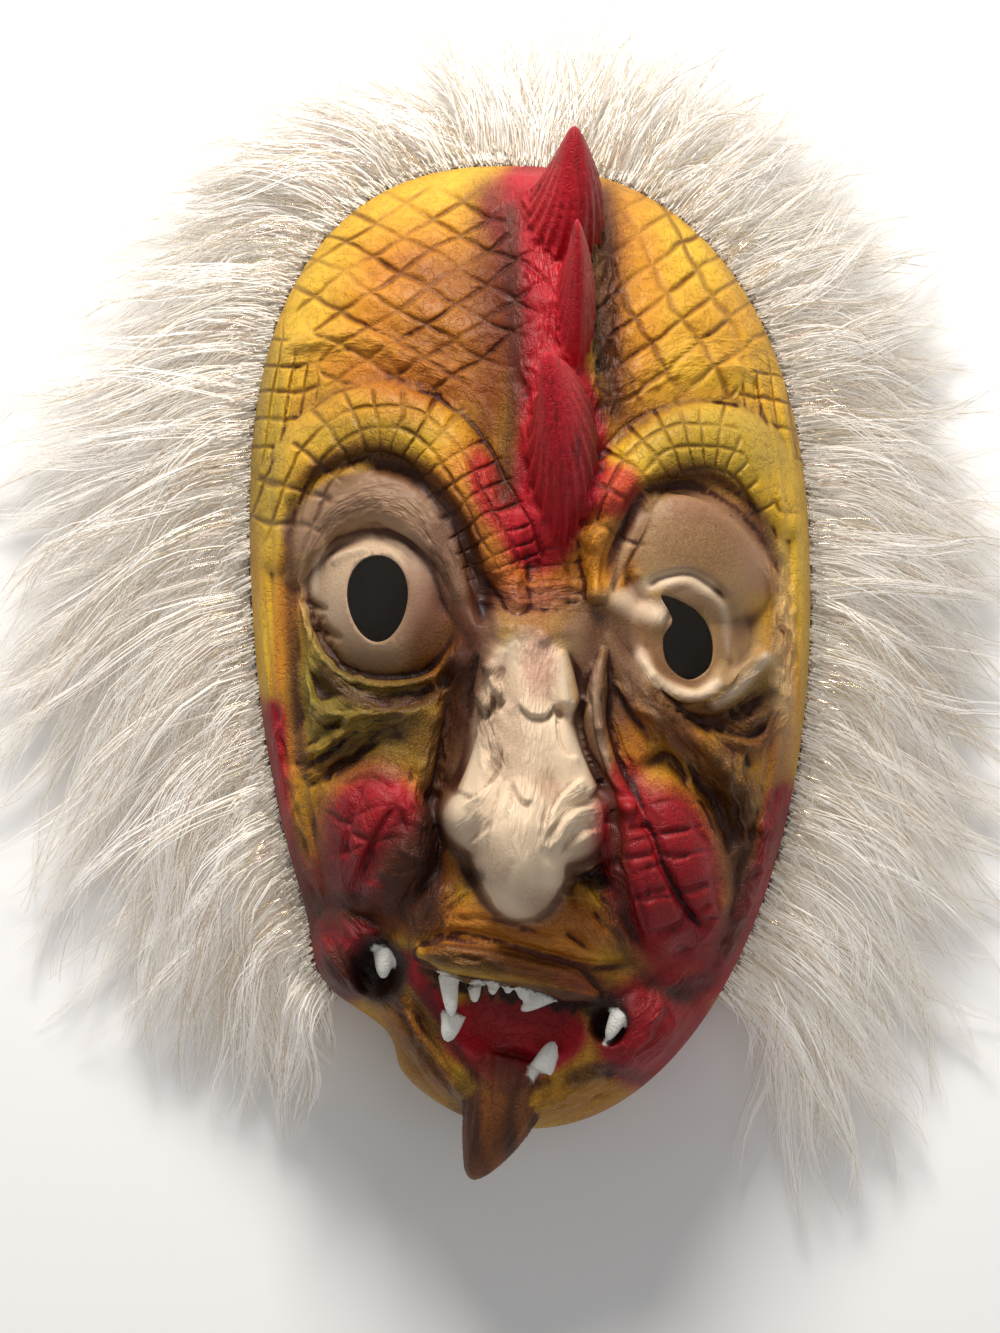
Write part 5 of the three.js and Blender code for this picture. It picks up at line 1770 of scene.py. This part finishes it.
def tinsel_material():
    material, tree, shader = new_material("gold tinsel")
    # the darker root colour is painted shade in the depth of the pile
    colour = place_group(tree, STRAND, {"Root": srgb(240, 220, 180), "Tip": srgb(250, 238, 205),
                                        "Odd": srgb(250, 225, 215), "Share of odd": 0.4})["Color"]
    tree.links.new(colour, shader["Base Color"])
    shader["Metallic"].default_value = 0.85
    shader["Roughness"].default_value = 0.2
    return material


def backing_material():
    material, tree, shader = new_material("knitted backing")
    where = wire(tree, "ShaderNodeTexCoord").outputs["Object"]
    loops = wire(tree, "ShaderNodeTexVoronoi", {"Vector": where, "Scale": 700.0}).outputs["Distance"]
    # painted shade: the knit is darker where its loops sink
    colour = blend_colours(tree, ramp(tree, loops, 0.1, 0.6), srgb(190, 182, 170), srgb(226, 220, 208))
    tree.links.new(colour, shader["Base Color"])
    bump = wire(tree, "ShaderNodeBump", {"Height": loops, "Strength": 0.8, "Distance": 0.0005})
    tree.links.new(bump.outputs["Normal"], shader["Normal"])
    shader["Roughness"].default_value = 0.85
    return material


WHITE_PILE, TINSEL, BACKING = pile_material(), tinsel_material(), backing_material()
print("fur materials:", WHITE_PILE.name, TINSEL.name, BACKING.name)


# %% [markdown]
# ## Fur: the pieces of hair
# The long pile is grown in three sections, so that no mesh gets too large. Each has three layers,
# from long locks low on the strip to shorter ones on top. A short fringe stands up against the latex
# and hides the glue line, a woolly underfur fills the roots, a few strays reach past the rest, and
# threads of tinsel glitter between them. A particle system could do this too, but a tree of nodes
# keeps every length where it can be read.

# %% The hair
# share of the guides, height of the root, share of the table's length, and rise of the arch
PILE_LAYERS = [
    (0.34, (4, 16), (0.62, 1.06), 6), (0.36, (14, 32), (0.5, 1.0), 9), (0.3, (28, 44), (0.35, 0.92), 10),
]
FRINGE_LAYERS = [(1.0, (47, 51), (0.06, 0.22), 3)]
FLUFF_LAYERS = [
    (0.4, (6, 26), (0.16, 0.42), 6), (0.35, (26, 44), (0.14, 0.4), 8), (0.25, (42, 49), (0.08, 0.24), 4),
]
STRAY_LAYERS = [(0.5, (10, 30), (0.82, 1.05), 10), (0.5, (28, 44), (0.7, 1.0), 14)]
TINSEL_LAYERS = [(0.4, (8, 30), (0.3, 0.8), 9), (0.6, (26, 46), (0.1, 0.85), 12)]
WHOLE_EDGE = (0.0, 1.0)
SECTIONS = {"left": (0.0, 0.31), "crown": (0.31, 0.69), "right": (0.69, 1.0)}


def layers_of(seed, shares, guides, layers, **lie):
    rng = np.random.default_rng(seed)
    return np.concatenate([lock_guides(rng, round(guides * part), shares, heights, reach, arch, **lie)
                           for part, heights, reach, arch in layers])


fur = []
for number, (side, shares) in enumerate(SECTIONS.items()):
    fur.append(grow(
        f"fur_pile_{side}",
        layers_of(100 + number, shares, 280, PILE_LAYERS, sway=17, wander=(10, 30)),
        material=WHITE_PILE, strands_to_a_guide=13, thickness=0.44 * MM, spread_at_the_tip=1.3 * MM,
        crimp=4.5 * MM, seed=number + 1))
fur.append(grow(
    "fur_fringe", layers_of(105, WHOLE_EDGE, 480, FRINGE_LAYERS, outset=-0.4),
    material=WHITE_PILE, strands_to_a_guide=6, points_to_a_strand=6, thickness=0.55 * MM,
    spread_at_the_root=2.5 * MM, spread_at_the_tip=3 * MM, crimp=3 * MM, size_of_a_crimp=10 * MM, seed=8))
fur.append(grow(
    "fur_underfur", layers_of(110, WHOLE_EDGE, 460, FLUFF_LAYERS, outset=1.2),
    material=WHITE_PILE, strands_to_a_guide=8, points_to_a_strand=6, thickness=0.72 * MM,
    spread_at_the_root=5 * MM, spread_at_the_tip=3.5 * MM, crimp=4 * MM, size_of_a_crimp=10 * MM, seed=9))
fur.append(grow(
    "fur_strays", layers_of(115, WHOLE_EDGE, 150, STRAY_LAYERS, sway=18, wander=(15, 40)),
    material=WHITE_PILE, strands_to_a_guide=7, points_to_a_strand=13, thickness=0.55 * MM,
    spread_at_the_root=5 * MM, spread_at_the_tip=1 * MM, crimp=5 * MM, size_of_a_crimp=26 * MM, seed=10))
fur.append(grow(
    "fur_tinsel", layers_of(120, (0.01, 0.99), 420, TINSEL_LAYERS),
    material=TINSEL, strands_to_a_guide=3, points_to_a_strand=9, thickness=0.34 * MM,
    spread_at_the_root=6 * MM, spread_at_the_tip=6 * MM, crimp=4.5 * MM, size_of_a_crimp=7 * MM, seed=11))
print("hair pieces:", [piece.name for piece in fur])


# %% [markdown]
# ## Fur: the backing strip
# The hair is knotted into a strip of knitted cloth, which stands on the floor round the latex with a
# hair's breadth of glue line between. One section with four corners, swept along the edge, makes it.
# Its top slopes out, so that it stays under the hair.

# %% The backing strip
STRIP_STEPS, STRIP_THICKNESS, STRIP_LOW, STRIP_SLOPE = 260, 4.5, 0.6, 3


def backing_strip():
    share = np.linspace(0, 1, STRIP_STEPS + 1)
    inner, outer = (edge_place(share, outset)[0] for outset in (LATEX_GAP, LATEX_GAP + STRIP_THICKNESS))
    section = ((inner, STRIP_LOW), (outer, STRIP_LOW), (outer, STRIP_HIGH - STRIP_SLOPE),
               (inner, STRIP_HIGH + STRIP_SLOPE))
    corners = [np.column_stack([place, np.full(len(share), height)]) for place, height in section]
    points = np.stack(corners, axis=1).reshape(-1, 3)
    first = np.arange(STRIP_STEPS)[:, None] * 4
    sides = np.array([(k, (k + 1) % 4, (k + 1) % 4 + 4, k + 4) for k in range(4)])
    walls = (first[:, :, None] + sides[None]).reshape(-1, 4)
    last = 4 * STRIP_STEPS
    ends = np.array([(3, 2, 1, 0), (last, last + 1, last + 2, last + 3)])
    return points, np.vstack([walls, ends])


strip = object_from("fur_backing", *backing_strip())
strip.data.materials.append(BACKING)
fur.append(strip)
print("backing strip:", len(strip.data.polygons), "faces")

# %% [markdown]
# ## Riding on the part
# Every piece is tied to the one body of the part. The painted skin stands for the plain CAD face, and
# the hair for the plain CAD fan of locks.

# %% Tie to the frame
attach(latex, "root")
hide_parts("latex_face")
for piece in fur:
    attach(piece, "root")
    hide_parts("fur_trim")
